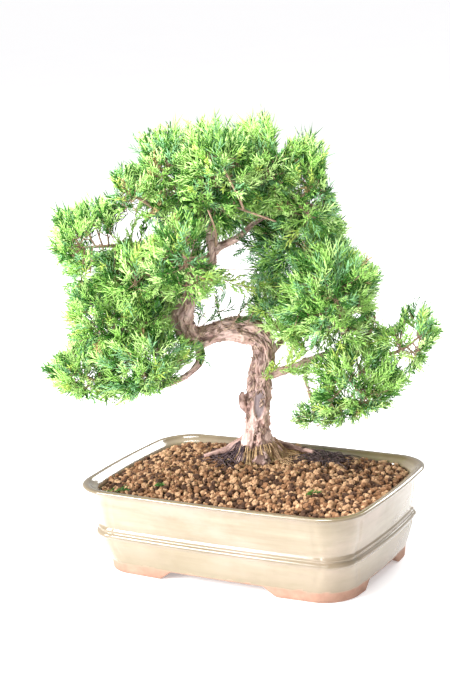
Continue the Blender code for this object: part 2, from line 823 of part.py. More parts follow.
def centre_on_origin(frame, objects):
    """Shifts the whole plant so that its box is centred over the origin."""
    bpy.context.view_layer.update()
    corners = [obj.matrix_world @ v.co for obj in objects for v in obj.data.vertices]
    for axis in range(2):
        values = [corner[axis] for corner in corners]
        frame.location[axis] = -(min(values) + max(values)) / 2


def main():
    clear_scene()
    plant = bpy.data.objects.new("plant", None)
    tree = bpy.data.objects.new("tree", None)
    tree.parent = plant
    tree.rotation_euler.z = TREE_TURN
    bpy.context.scene.collection.objects.link(plant)
    bpy.context.scene.collection.objects.link(tree)
    glaze = make_material("glazed_stoneware", GLAZE, 0.18)
    earth = make_material("grit_soil", SOIL_BROWN, 0.95)
    bark = make_material("bark", BARK_BROWN, 0.85)
    green = make_material("juniper_foliage", FOLIAGE_GREEN, 0.6)
    objects = [make_pot(plant, glaze), make_soil(plant, earth)]
    rows, limbs = make_limbs(tree, bark)
    objects.extend(limbs.values())
    objects.extend(make_masses(rows, tree, green))
    centre_on_origin(plant, objects)


main()
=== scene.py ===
# Juniper bonsai in a glazed oblong pot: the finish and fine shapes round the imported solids.
# Lengths are in metres. A table that says in tenths holds tenths of a millimetre, which tenths() turns
# into metres. A place on the tree is (across, deep, high) in the tree's own plane, which is turned
# from the pot's long side.

import math

import bpy
import numpy as np
from mathutils import Matrix, Vector


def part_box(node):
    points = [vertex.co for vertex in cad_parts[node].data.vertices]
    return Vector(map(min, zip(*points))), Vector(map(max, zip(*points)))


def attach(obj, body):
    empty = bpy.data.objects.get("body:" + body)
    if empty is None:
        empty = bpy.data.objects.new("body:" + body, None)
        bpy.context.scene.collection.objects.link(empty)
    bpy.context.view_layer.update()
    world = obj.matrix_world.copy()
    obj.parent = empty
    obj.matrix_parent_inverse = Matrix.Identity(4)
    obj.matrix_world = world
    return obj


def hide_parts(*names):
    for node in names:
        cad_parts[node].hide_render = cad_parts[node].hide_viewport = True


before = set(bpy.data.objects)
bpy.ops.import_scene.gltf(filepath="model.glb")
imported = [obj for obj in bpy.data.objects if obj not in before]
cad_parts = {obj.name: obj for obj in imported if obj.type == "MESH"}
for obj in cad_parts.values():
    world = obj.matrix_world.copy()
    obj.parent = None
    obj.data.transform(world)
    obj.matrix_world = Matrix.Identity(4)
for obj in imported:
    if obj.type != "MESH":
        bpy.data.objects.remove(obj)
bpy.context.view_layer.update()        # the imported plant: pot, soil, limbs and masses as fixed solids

print("frame loaded:", len(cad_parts), "nodes")

potLow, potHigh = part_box("pot")
middle = np.array([(potLow.x + potHigh.x) / 2, (potLow.y + potHigh.y) / 2, 0.0])


# numbers worked out as whole arrays

def tenths(rows):
    # places given in tenths of a millimetre, as an array in metres
    return np.array(rows, float) / 1e4


def unit(vectors):
    # each vector divided by its own length
    return vectors / np.maximum(np.linalg.norm(vectors, axis=-1, keepdims=True), 1e-12)


def between(a, b, share):
    return a + (b - a) * share


def smoothStep(low, high, values):
    share = np.clip((values - low) / (high - low), 0, 1)
    return share * share * (3 - 2 * share)


def latticeNoise(points, seed):
    # random values on a unit lattice, blended smoothly between the eight corners round each point
    cell = np.floor(points).astype(np.int64)
    part = points - cell
    part = part * part * (3 - 2 * part)
    total = np.zeros(points.shape[:-1])
    for corner in range(8):
        bits = np.array((corner & 1, corner >> 1 & 1, corner >> 2 & 1))
        key = cell + bits
        mixed = key[..., 0] * 374761393 + key[..., 1] * 668265263 + key[..., 2] * 974634777 + seed * 144665
        mixed = (mixed ^ (mixed >> 13)) * 1274126177
        value = ((mixed ^ (mixed >> 16)) & 0xffff) / 32767.5 - 1
        total += value * np.prod(np.where(bits, part, 1 - part), axis=-1)
    return total


def fractalNoise(points, seed, octaves=3):
    # noise plus half as much at twice the pitch, and so on
    total = np.zeros(points.shape[:-1])
    for k in range(octaves):
        total += latticeNoise(points * 2**k, seed + k) / 2**k
    return total


def smoothPath(marks, step):
    # Catmull-Rom curve through the marks, with a point about every step
    ends = np.vstack([2 * marks[0] - marks[1], marks, 2 * marks[-1] - marks[-2]])
    rows = []
    for k in range(len(marks) - 1):
        a, b, c, d = ends[k:k + 4]
        count = max(1, round(np.linalg.norm((c - b)[:3]) / step))
        t = (np.arange(count) / count)[:, None]
        square = (2 * a - 5 * b + 4 * c - d) * t**2
        cube = (3 * b - a - 3 * c + d) * t**3
        rows.append(0.5 * (2 * b + (c - a) * t + square + cube))
    return np.vstack(rows + [marks[-1:]])


def pathFrames(places, level=False):
    # ways along the path, and two ways across it that turn as little as they can
    along = np.gradient(places, axis=0)
    if level:
        along[0] = (0, 0, 1)
    along = unit(along)
    normal = np.zeros_like(along)
    first = np.array((1.0, 0, 0)) if abs(along[0, 2]) > 0.9 else np.cross(along[0], (0, 0, 1.0))
    for k, way in enumerate(along):
        first = first - way * first.dot(way)
        first = first / np.linalg.norm(first)
        normal[k] = first
    return along, normal, np.cross(along, normal)


def bend(start, control, end, count):
    # quadratic curves from start to end, pulled towards the control point
    share = np.linspace(0, 1, count)[:, None]
    start, control, end = (p[..., None, :] for p in (start, control, end))
    return (1 - share)**2 * start + 2 * share * (1 - share) * control + share**2 * end


def gridFaces(rings, sides):
    # quads between neighbouring rings of a closed band, facing out
    start = np.arange(rings - 1)[:, None] * sides
    low, after = start + np.arange(sides), start + (np.arange(sides) + 1) % sides
    return np.stack([low, after, after + sides, low + sides], -1).reshape(-1, 4)


def closedBand(grid):
    # a band of rings closed by a fan at each end: points, quads and triangles
    rings, sides = grid.shape[:2]
    points = np.vstack([grid.reshape(-1, 3), grid[0].mean(0), grid[-1].mean(0)])
    turn = np.arange(sides)
    after = (turn + 1) % sides
    top = (rings - 1) * sides
    fans = np.vstack([
        np.stack([after, turn, np.full(sides, rings * sides)], -1),
        np.stack([top + turn, top + after, np.full(sides, rings * sides + 1)], -1),
    ])
    return points, gridFaces(rings, sides), fans


def joined(parts):
    # several (points, quads, triangles) made one
    points, quads, fans, count = [], [], [], 0
    for partPoints, partQuads, partFans in parts:
        points.append(partPoints)
        quads.append(partQuads + count)
        fans.append(partFans + count)
        count += len(partPoints)
    return np.vstack(points), np.vstack(quads), np.vstack(fans)


def circle(turn):
    # unit ways in a plane at the given turns
    return np.stack([np.cos(turn), np.sin(turn)], -1)


def sidesOf(along, first):
    # two ways square to each way along; the first ways choose the axis that they are worked out from
    helper = np.where(np.abs(first[..., 2:]) < 0.8, np.array((0, 0, 1.0)), np.array((1.0, 0, 0)))
    side = unit(np.cross(along, np.broadcast_to(helper, along.shape)))
    return side, np.cross(along, side)


def heaped(values, points, places, sizes, heights):
    # round heaps added to the values: height times exp(-(distance / size) squared) round each place
    for place, size, height in zip(places, sizes, heights):
        gap = np.linalg.norm(points - place, axis=-1)
        values = values + height * np.exp(-(gap / size)**2)
    return values


def repeated(faces, count, size):
    # one body's faces again for each of many alike bodies of size points
    return (faces + (np.arange(count) * size)[:, None, None]).reshape(-1, faces.shape[1])


def manyBands(skins, paths):
    # closed bands that are all alike, one along each path: points, quads and triangles
    count = len(skins)
    _, quads, fans = closedBand(skins[0])
    points = np.concatenate([skins.reshape(count, -1, 3), paths[:, :1], paths[:, -1:]], axis=1)
    size = points.shape[1]
    return points.reshape(-1, 3), repeated(quads, count, size), repeated(fans, count, size)


def addPiece(name, points, faces, material, replaced=(), values=None, smooth=True):
    # one mesh that rides on the plant's single body; faces is a list of index arrays
    mesh = bpy.data.meshes.new(name)
    faces = [f for f in faces if len(f)]
    corners = np.concatenate([f.ravel() for f in faces]).astype(np.int32)
    sizes = np.concatenate([np.full(len(f), f.shape[1]) for f in faces])
    starts = np.concatenate([[0], np.cumsum(sizes)[:-1]]).astype(np.int32)
    mesh.vertices.add(len(points))
    mesh.vertices.foreach_set("co", np.asarray(points, np.float32).ravel())
    mesh.loops.add(len(corners))
    mesh.loops.foreach_set("vertex_index", corners)
    mesh.polygons.add(len(sizes))
    mesh.polygons.foreach_set("loop_start", starts)
    mesh.polygons.foreach_set("use_smooth", np.full(len(sizes), smooth))
    for label, data in (values or {}).items():
        kind, field = ("FLOAT", "value") if data.ndim == 1 else ("FLOAT_VECTOR", "vector")
        mesh.attributes.new(label, kind, "POINT").data.foreach_set(field, data.astype(np.float32).ravel())
    mesh.update(calc_edges=True)
    mesh.validate()
    mesh.materials.append(material)
    piece = bpy.data.objects.new(name, mesh)
    bpy.context.scene.collection.objects.link(piece)
    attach(piece, "root")
    if replaced:
        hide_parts(*replaced)
    print(f"{name}: {int((sizes - 2).sum())} triangles")
    return piece


# materials

def makeMottle():
    # group: two colours mixed by noise at a given scale, with the noise itself as a height
    group = bpy.data.node_groups.new("mottle", "ShaderNodeTree")
    for label, kind in (("Vector", "NodeSocketVector"), ("Scale", "NodeSocketFloat"),
                        ("Contrast", "NodeSocketFloat"), ("Dark", "NodeSocketColor"),
                        ("Light", "NodeSocketColor")):
        group.interface.new_socket(label, in_out="INPUT", socket_type=kind)
    group.interface.new_socket("Color", in_out="OUTPUT", socket_type="NodeSocketColor")
    group.interface.new_socket("Height", in_out="OUTPUT", socket_type="NodeSocketFloat")
    nodes, links = group.nodes, group.links
    given, put = nodes.new("NodeGroupInput"), nodes.new("NodeGroupOutput")
    noise = nodes.new("ShaderNodeTexNoise")
    noise.inputs["Detail"].default_value = 5.0
    noise.inputs["Roughness"].default_value = 0.6
    links.new(given.outputs["Vector"], noise.inputs["Vector"])
    links.new(given.outputs["Scale"], noise.inputs["Scale"])
    centred = nodes.new("ShaderNodeMath")
    centred.operation = "SUBTRACT"
    centred.inputs[1].default_value = 0.5
    links.new(noise.outputs["Fac"], centred.inputs[0])
    steep = nodes.new("ShaderNodeMath")
    steep.operation = "MULTIPLY_ADD"
    steep.use_clamp = True
    steep.inputs[2].default_value = 0.5
    links.new(centred.outputs[0], steep.inputs[0])
    links.new(given.outputs["Contrast"], steep.inputs[1])
    mix = nodes.new("ShaderNodeMix")
    mix.data_type = "RGBA"
    links.new(steep.outputs[0], mix.inputs["Factor"])
    links.new(given.outputs["Dark"], mix.inputs["A"])
    links.new(given.outputs["Light"], mix.inputs["B"])
    links.new(mix.outputs["Result"], put.inputs["Color"])
    links.new(noise.outputs["Fac"], put.inputs["Height"])
    return group


mottle = makeMottle()


class Finish:
    # one material with a Principled shader, and short ways to add what feeds it

    def __init__(self, name, roughness, **sockets):
        self.material = bpy.data.materials.new(name)
        self.material.use_nodes = True
        self.nodes = self.material.node_tree.nodes
        self.links = self.material.node_tree.links
        self.shader = self.nodes["Principled BSDF"]
        self.shader.inputs["Roughness"].default_value = roughness
        for label, value in sockets.items():
            self.shader.inputs[label.replace("_", " ")].default_value = value
        self.place = self.nodes.new("ShaderNodeTexCoord").outputs["Object"]

    def stretched(self, scale, source=None):
        node = self.nodes.new("ShaderNodeMapping")
        node.inputs["Scale"].default_value = scale
        self.links.new(source or self.place, node.inputs["Vector"])
        return node.outputs["Vector"]

    def value(self, label, output="Fac"):
        node = self.nodes.new("ShaderNodeAttribute")
        node.attribute_name = label
        return node.outputs[output]

    def spots(self, scale, contrast, dark, light, place=None):
        node = self.nodes.new("ShaderNodeGroup")
        node.node_tree = mottle
        node.inputs["Scale"].default_value = scale
        node.inputs["Contrast"].default_value = contrast
        node.inputs["Dark"].default_value = (*dark, 1)
        node.inputs["Light"].default_value = (*light, 1)
        self.links.new(place or self.place, node.inputs["Vector"])
        return node.outputs

    def mixed(self, share, a, b, kind="MIX"):
        node = self.nodes.new("ShaderNodeMix")
        node.data_type = "RGBA"
        node.blend_type = kind
        for socket, source in (("Factor", share), ("A", a), ("B", b)):
            if isinstance(source, bpy.types.NodeSocket):
                self.links.new(source, node.inputs[socket])
            elif socket == "Factor":
                node.inputs[socket].default_value = source
            else:
                node.inputs[socket].default_value = (*source, 1)
        return node.outputs["Result"]

    def ranged(self, source, low, high, newLow=0.0, newHigh=1.0):
        node = self.nodes.new("ShaderNodeMapRange")
        node.inputs["From Min"].default_value = low
        node.inputs["From Max"].default_value = high
        node.inputs["To Min"].default_value = newLow
        node.inputs["To Max"].default_value = newHigh
        self.links.new(source, node.inputs["Value"])
        return node.outputs["Result"]

    def bumped(self, height, strength, distance):
        node = self.nodes.new("ShaderNodeBump")
        node.inputs["Strength"].default_value = strength
        node.inputs["Distance"].default_value = distance
        self.links.new(height, node.inputs["Height"])
        self.links.new(node.outputs["Normal"], self.shader.inputs["Normal"])

    def feed(self, label, source):
        self.links.new(source, self.shader.inputs[label])


def plainFinish(name, roughness, scale, contrast, dark, light, bump=None, **sockets):
    # two mottled tones, and the mottle as a bump where a strength and a height are given
    finish = Finish(name, roughness, **sockets)
    tone = finish.spots(scale, contrast, dark, light)
    finish.feed("Base Color", tone["Color"])
    if bump:
        finish.bumped(tone["Height"], *bump)
    return finish.material


# pot

pot = {
    "length": 0.205,
    "width": 0.1346,
    "bow": 0.0035,                       # how far the long sides swell
    "cornerSteps": 18,
    "longSteps": 90,
    "shortSteps": 60,
    "profileStep": 0.0011,
    "footHeight": 0.0063,
    "footInset": 0.012,
    "footCorner": 0.0185,
    "frontChannel": (0.042, 0.033),      # half width between two feet, at the table and at their top
    "sideChannel": (0.025, 0.019),
    "floorHeight": 0.0115,
    # rings of the feet: inset and corner past the feet's own, lift off the table, share of the way up
    "footRings": (
        (0.0120, -0.0060, 0.0001, 1.0), (0.0120, -0.0060, 0.0, 0.0), (0.0012, 0.0, 0.0, 0.0),
        (0.0005, 0.0, 0.0004, 0.0), (0.0003, 0.0, 0.0, 0.5),
    ),
    # a shallow crease where each corner meets a side, between two stretches of height where it fades
    "crease": 0.0006,
    "creaseShare": 0.08,
    "cornerRun": 0.024,
    "creaseBegins": (0.008, 0.014),
    "creaseEnds": (0.050, 0.0555),
    # the glaze stops in this band of heights, and runs thin on crests: height, half width, amount
    "clayLine": (0.0066, 0.0074),
    "clayWaver": 0.0007,
    "crests": (
        (0.0262, 0.0008, 0.75), (0.0299, 0.0005, 0.55), (0.0578, 0.0008, 0.85), (0.0590, 0.0004, 0.9),
    ),
    "thinInside": 0.25,
    "drainRadius": 0.006,
    "drainSpacing": 0.09,
    "drainSides": 32,
    "drainDepth": 0.02,
    # outer wall up to the rim and inner one down to the floor, in tenths: inset, height, corner radius
    "outer": (
        (120, 63, 185), (103, 128, 178), (88, 195, 166), (84, 236, 158), (80, 243, 155), (71, 252, 150),
        (67, 262, 150), (71, 272, 150), (84, 281, 155), (85, 287, 156), (79, 293, 152), (77, 299, 152),
        (81, 306, 155), (88, 315, 158), (79, 350, 170), (61, 440, 190), (53, 540, 203), (50, 556, 206),
        (34, 563, 214), (12, 566, 222), (2, 571, 226), (0, 578, 226), (3, 585, 225), (12, 589, 221),
        (24, 590, 212), (36, 588, 205), (46, 580, 200),
    ),
    "inner": (
        (62, 566, 192), (88, 546, 180), (96, 450, 170), (122, 300, 140), (150, 165, 130), (185, 115, 110),
    ),
}


def potOutline(inset, corner):
    # rectangle with round corners whose sides swell by a cosine; inset and corner hold a value for each
    # ring. Gives the places, how close each is to where a corner meets a side, and its side: 1 short, 2 long
    inset, corner = np.asarray(inset, float)[:, None], np.asarray(corner, float)[:, None]
    bowX, bowY = pot["bow"], pot["bow"] * pot["width"] / pot["length"]
    halfX = pot["length"] / 2 - inset - bowX
    halfY = pot["width"] / 2 - inset - bowY
    quarters = ((1, -1, -90, pot["shortSteps"]), (1, 1, 0, pot["longSteps"]),
                (-1, 1, 90, pot["shortSteps"]), (-1, -1, 180, pot["longSteps"]))
    cornerShare = np.linspace(0, 1, pot["cornerSteps"] + 1)
    arcs = []
    for signX, signY, first, _ in quarters:
        turn = np.radians(first + np.linspace(0, 90, pot["cornerSteps"] + 1))
        arcs.append(np.stack([signX * (halfX - corner) + corner * np.cos(turn),
                              signY * (halfY - corner) + corner * np.sin(turn)], -1))

    def closeness(run):
        return np.exp(-(run / pot["creaseShare"])**2)

    runs, crease, side = [], [], []
    for q, (_, _, _, steps) in enumerate(quarters):
        length, number = (pot["width"], 1) if q % 2 == 0 else (pot["length"], 2)
        runs.append(arcs[q])
        crease.append(closeness(cornerShare) + closeness(1 - cornerShare))
        side.append(np.zeros(len(cornerShare)))
        share = np.arange(1, steps) / steps
        start, end = arcs[q][:, -1:], arcs[(q + 1) % 4][:, :1]
        runs.append(start + (end - start) * share[:, None])
        crease.append(closeness(np.minimum(share, 1 - share) * length / pot["cornerRun"]))
        side.append(np.full(len(share), number))
    flat = np.concatenate(runs, axis=1)
    x, y = flat[..., 0], flat[..., 1]
    swell = np.stack([bowX * np.cos(np.pi / 2 * np.clip(y / halfY, -1, 1)) * x / halfX,
                      bowY * np.cos(np.pi / 2 * np.clip(x / halfX, -1, 1)) * y / halfY], -1)
    return flat + swell, np.concatenate(crease), np.concatenate(side)


def footRing(inset, corner, lift, share):
    # one ring of the feet: on the table at a foot, at the foot's top in a channel, slanted between
    ring, _, side = potOutline([pot["footInset"] + inset], [pot["footCorner"] + corner])
    ring, low = ring[0], []
    for label, axis in (("sideChannel", 1), ("frontChannel", 0)):
        wide, narrow = pot[label]
        low.append(np.clip((wide - np.abs(ring[:, axis])) / (wide - narrow), 0, 1) * pot["footHeight"])
    edge = np.select([side == 1, side == 2], low, 0.0)
    high = between(edge, pot["footHeight"], share) + lift * (1 - edge / pot["footHeight"] * (share < 1))
    return np.column_stack([ring, high])


def makePot():
    # surface: each ring of the profile carried round the swollen outline, down to feet cut by the channels
    outer = smoothPath(tenths(pot["outer"]), pot["profileStep"])
    inner = smoothPath(tenths(pot["outer"][-1:] + pot["inner"]), pot["profileStep"] * 2)[1:]
    rows = np.vstack([outer, inner])
    flat, crease, _ = potOutline(rows[:, 0], rows[:, 2])
    fade = smoothStep(*pot["creaseBegins"], rows[:, 1]) * (1 - smoothStep(*pot["creaseEnds"], rows[:, 1]))
    fade[len(outer):] = 0
    flat = flat + unit(-flat) * (pot["crease"] * crease * fade[:, None])[..., None]
    body = np.dstack([flat, np.broadcast_to(rows[:, 1][:, None], flat.shape[:2])])
    feet = [footRing(*row) for row in pot["footRings"]]
    grid = np.concatenate([np.stack(feet), body])
    grid[..., :2] += middle[:2]
    points, quads, fans = closedBand(grid)
    # bare clay on the feet, up to a wavering line
    rise = np.concatenate([grid[..., 2].ravel(), [pot["footHeight"], pot["floorHeight"]]])
    clay = 1 - smoothStep(*pot["clayLine"], rise + pot["clayWaver"] * fractalNoise(points / 0.006, 5))
    # glaze runs thin on the bands' crests and on the rim's edge
    thin = np.zeros(len(grid))
    heights = np.concatenate([np.zeros(len(feet)), rows[:, 1]])
    for crest, width, amount in pot["crests"]:
        thin = np.maximum(thin, amount * np.exp(-((heights - crest) / width)**2))
    thin[len(feet) + len(outer):] = pot["thinInside"]
    thin = np.concatenate([np.repeat(thin, grid.shape[1]), [0, 0]])
    thin = np.clip(thin + 0.12 * fractalNoise(points / 0.009, 11), 0, 1)
    values = {"thin": thin, "clay": clay}
    piece = addPiece("glazedPot", points, [quads, fans], potFinish(), ["pot"], values)
    for sign in (-1, 1):
        drillDrain(piece, sign * pot["drainSpacing"] / 2)


def drillDrain(piece, across):
    # a round hole cut through the floor
    ring = np.linspace(0, 2 * np.pi, pot["drainSides"], endpoint=False)
    flat = middle[:2] + (across, 0) + pot["drainRadius"] * circle(ring)
    grid = np.stack([np.column_stack([flat, np.full(len(flat), high)]) for high in (0.0, pot["drainDepth"])])
    points, quads, fans = closedBand(grid)
    mesh = bpy.data.meshes.new("drain")
    mesh.from_pydata(points.tolist(), [], quads.tolist() + fans.tolist())
    cutter = bpy.data.objects.new("drain", mesh)
    bpy.context.scene.collection.objects.link(cutter)
    hole = piece.modifiers.new("drain", "BOOLEAN")
    hole.operation = "DIFFERENCE"
    hole.object = cutter
    graph = bpy.context.evaluated_depsgraph_get()
    cut = bpy.data.meshes.new_from_object(piece.evaluated_get(graph))
    piece.modifiers.clear()
    piece.data = cut
    bpy.data.objects.remove(cutter)


glaze = {
    "roughness": 0.16,
    "coat": 0.6,
    "tones": ((0.235, 0.187, 0.124), (0.312, 0.262, 0.188)),
    "cloud": (0.84, 0.80, 0.72),
    "bloom": (0.345, 0.262, 0.205),
    "olive": (0.225, 0.185, 0.112),
    "oliveHigh": (0.030, 0.010),         # heights where the olive begins and is full
    "speck": (0.20, 0.14, 0.07),
    "thin": (0.125, 0.090, 0.045),
    "clayTones": ((0.29, 0.155, 0.105), (0.40, 0.24, 0.17)),
    "clayRoughness": 0.8,
}
black, white = (0, 0, 0), (1, 1, 1)


def potFinish():
    finish = Finish("glaze", glaze["roughness"], Coat_Roughness=0.05, IOR=1.5)
    brushed = finish.stretched((18, 18, 260))
    tone = finish.spots(1.0, 1.8, *glaze["tones"], brushed)
    cloud = finish.spots(26.0, 2.6, glaze["cloud"], white)
    base = finish.mixed(1.0, tone["Color"], cloud["Color"], "MULTIPLY")
    # a rosy bloom in places, and glaze that runs more olive towards the feet
    bloom = finish.spots(17.0, 3.0, black, white, finish.stretched((1, 1, 2.2)))
    base = finish.mixed(finish.ranged(bloom["Height"], 0.50, 0.66, 0.0, 0.55), base, glaze["bloom"])
    rise = finish.nodes.new("ShaderNodeSeparateXYZ")
    finish.links.new(finish.place, rise.inputs["Vector"])
    olive = finish.ranged(rise.outputs["Z"], *glaze["oliveHigh"], 0.0, 0.55)
    base = finish.mixed(olive, base, glaze["olive"])
    # dark specks, and the brown of the body where the glaze is thin
    speck = finish.spots(900.0, 9.0, black, white)
    base = finish.mixed(finish.ranged(speck["Height"], 0.70, 0.76), base, glaze["speck"])
    base = finish.mixed(finish.value("thin"), base, glaze["thin"])
    clayTone = finish.spots(160.0, 2.0, *glaze["clayTones"])
    clay = finish.value("clay")
    finish.feed("Base Color", finish.mixed(clay, base, clayTone["Color"]))
    finish.feed("Roughness", finish.ranged(clay, 0, 1, glaze["roughness"], glaze["clayRoughness"]))
    finish.feed("Coat Weight", finish.ranged(clay, 0, 1, glaze["coat"], 0.0))
    finish.bumped(finish.spots(240.0, 1.0, black, white)["Height"], 0.12, 0.0006)
    return finish.material


# soil

soil = {
    "edge": 0.0540,                      # height at the wall
    "seat": 0.0625,                      # height under the trunk
    "seatRadius": 0.0215,
    "seatPlace": (0.007, 0.023),
    # heaps against the trunk's foot, in tenths: place on the tree, size, height
    "heaps": ((220, 300, 0, 120, 30), (-120, 270, 0, 90, 20)),
    # the bed under the grains: how far below them, where it leaves the wall, and its lumps; its near-black
    # tones are a painted shade that shows in the gaps between the grains
    "bedDrop": 0.0024,
    "bedEdge": 0.004,
    "bedRings": 44,
    "bedPitch": 0.003,
    "bedLumps": 0.0006,
    "bedShadeTones": ((0.008, 0.003, 0.001), (0.04, 0.017, 0.007)),
    # grains: pitch, and for each layer the spread of its pitch and its drop
    "spacing": 0.0037,
    "layers": ((1.0, 0.0), (1.25, 0.0011), (2.2, -0.0011)),
    "halfGrid": (0.1, 0.066),
    "jitter": 0.4,
    "sink": (-0.0006, 0.0003),
    "radius": (0.0011, 0.0031),
    "gap": 0.0003,                       # between the bed and the pot
    "shapes": 14,
    "sides": 6,
    "seed": 41,
    # name, share, dark and light colour
    "tones": (
        ("gritTan", 0.38, (0.275, 0.145, 0.068), (0.56, 0.350, 0.200)),
        ("gritBrown", 0.38, (0.130, 0.056, 0.022), (0.29, 0.145, 0.066)),
        ("gritDark", 0.24, (0.032, 0.012, 0.005), (0.085, 0.036, 0.014)),
    ),
}

# limbs, in tenths: places from root to tip, with the radius at each
tree = {
    "turn": math.radians(30.8),
    "trunk": (
        (50, 210, 628, 105), (50, 215, 710, 90), (50, 215, 810, 76), (70, 200, 1000, 77),
        (95, 190, 1170, 76), (125, 170, 1330, 70), (90, 150, 1460, 74), (-40, 120, 1520, 78),
        (-180, 100, 1510, 61), (-300, 90, 1490, 66), (-365, 80, 1570, 58), (-358, 80, 1670, 48),
        (-315, 80, 1755, 42), (-240, 85, 1825, 38), (-188, 90, 1910, 33), (-163, 95, 2005, 29),
        (-155, 100, 2105, 29), (-168, 110, 2215, 22), (-150, 120, 2360, 17),
    ),
    "boughs": {
        "lower_left": (
            (-290, 90, 1470, 32), (-285, 50, 1350, 26), (-360, 20, 1275, 21), (-460, 0, 1232, 18),
            (-630, -20, 1205, 15), (-840, -40, 1240, 12),
        ),
        "lower_left_side": ((-460, 0, 1232, 15), (-480, -40, 1265, 13), (-520, -70, 1300, 11)),
        "middle_left": ((-370, 80, 1620, 21), (-500, 50, 1640, 17), (-620, 20, 1650, 13)),
        "inner_left": ((-350, 80, 1690, 18), (-420, 30, 1800, 15), (-500, -10, 1900, 12)),
        "upper_left": (
            (-250, 83, 1822, 26), (-420, 120, 2000, 21), (-600, 100, 2100, 16), (-740, 60, 2120, 12),
        ),
        "shoulder": ((-175, 92, 1960, 21), (-340, 80, 2150, 16), (-500, 50, 2340, 12)),
        "front": ((-290, 78, 1775, 18), (-305, 0, 1840, 15), (-320, -70, 1920, 12)),
        "crown_left": ((-160, 105, 2160, 20), (-230, 100, 2260, 16), (-300, 100, 2360, 12)),
        "crown_right": (
            (-145, 98, 2050, 27), (-70, 100, 2080, 23), (10, 100, 2115, 20), (80, 110, 2170, 18),
            (150, 120, 2215, 16), (290, 130, 2260, 12),
        ),
        "apex_right": ((-165, 110, 2225, 19), (-90, 135, 2300, 16), (20, 140, 2390, 12)),
        "right_drop": ((195, 125, 2230, 15), (250, 160, 2180, 13), (280, 180, 2130, 11)),
        "lower_right": (
            (105, 190, 1180, 36), (230, 150, 1213, 29), (390, 100, 1275, 25), (520, 70, 1320, 22),
            (700, 40, 1335, 18), (900, 10, 1310, 13),
        ),
        "riser": ((610, 55, 1330, 18), (650, 40, 1430, 15), (630, 0, 1560, 11)),
        "right_side": ((720, 40, 1335, 15), (760, 60, 1380, 13), (790, 80, 1420, 11)),
        "right_low": ((520, 70, 1320, 16), (550, 30, 1290, 13), (580, -20, 1260, 11)),
        "hanging": ((390, 100, 1275, 13), (380, 70, 1160, 11), (400, 40, 1080, 9)),
        "inner_right": ((90, 150, 1450, 18), (180, 160, 1490, 14), (220, 170, 1520, 11)),
        "back_left": ((-370, 80, 1600, 25), (-410, 240, 1660, 19), (-470, 340, 1700, 13)),
        "back_right": ((120, 170, 1290, 26), (260, 300, 1380, 20), (420, 370, 1480, 13)),
        "back_crown": ((-155, 100, 2125, 23), (-100, 240, 2190, 18), (-60, 340, 2240, 12)),
    },
    "roots": {
        "right": ((110, 260, 725, 26), (190, 270, 690, 23), (290, 240, 662, 18), (410, 175, 642, 12)),
        "left": (
            (-30, 240, 735, 30), (-105, 255, 700, 27), (-190, 255, 668, 20), (-310, 245, 648, 12),
        ),
    },
}


def toPlant(places):
    # a place on the tree turned into the pot's frame
    places = np.asarray(places, float)
    c, s = math.cos(tree["turn"]), math.sin(tree["turn"])
    across, deep, high = places[..., 0], places[..., 1], places[..., 2]
    return np.stack([across * c - deep * s, across * s + deep * c, high], -1) + middle


def innerRing(inset, corner):
    # the pot's inner wall, less the gap that the soil keeps to it
    return potOutline([inset + soil["gap"]], [corner])[0][0] + middle[:2]


def moundEdges():
    # the middle of the level seat, and the ring where the mound meets the wall
    inset, _, corner = tenths(pot["inner"][1])
    return toPlant((*soil["seatPlace"], 0))[:2], innerRing(inset, corner)


def soilHeight(flat):
    # the mound's height: level over its seat, falling by a sine to the wall, with a few round heaps;
    # and how far each place is from the wall
    seat, wall = moundEdges()
    off = wall - seat
    turn = np.arctan2(off[:, 1], off[:, 0])
    order = np.argsort(turn)
    away = flat - seat
    reach = np.interp(np.arctan2(away[..., 1], away[..., 0]), turn[order],
                      np.linalg.norm(off, axis=1)[order], period=2 * np.pi)
    free = reach - np.linalg.norm(away, axis=-1)
    rise = np.sin(np.pi / 2 * np.clip(free / (reach - soil["seatRadius"]), 0, 1))
    high = between(soil["edge"], soil["seat"], rise)
    heaps = tenths(soil["heaps"])
    return heaped(high, flat, toPlant(heaps[:, :3])[:, :2], heaps[:, 3], heaps[:, 4]), free


def makeSoil():
    # bed: rings from the wall's foot up, then inwards over the mound, a little under the grains
    rings = []
    for inset, high, corner in tenths(pot["inner"])[:0:-1]:
        if high < soil["edge"] - soil["bedEdge"]:
            ring = innerRing(inset, corner)
            rings.append(np.column_stack([ring, np.full(len(ring), high + soil["gap"])]))
    seat, wall = moundEdges()
    for share in np.linspace(0, 0.97, soil["bedRings"]):
        flat = between(wall, seat, share)
        high = soilHeight(flat)[0] - soil["bedDrop"]
        lumps = fractalNoise(np.column_stack([flat, high]) / soil["bedPitch"], 3)
        rings.append(np.column_stack([flat, high + soil["bedLumps"] * lumps]))
    points, quads, fans = closedBand(np.stack(rings))
    # the bed's near-black colour is a painted shade for the gaps between the grains
    material = plainFinish("soilBed", 0.95, 420.0, 2.5, *soil["bedShadeTones"], (0.8, 0.002))
    addPiece("soilBed", points, [quads, fans], material, ["soil"])
    scatterGrit()


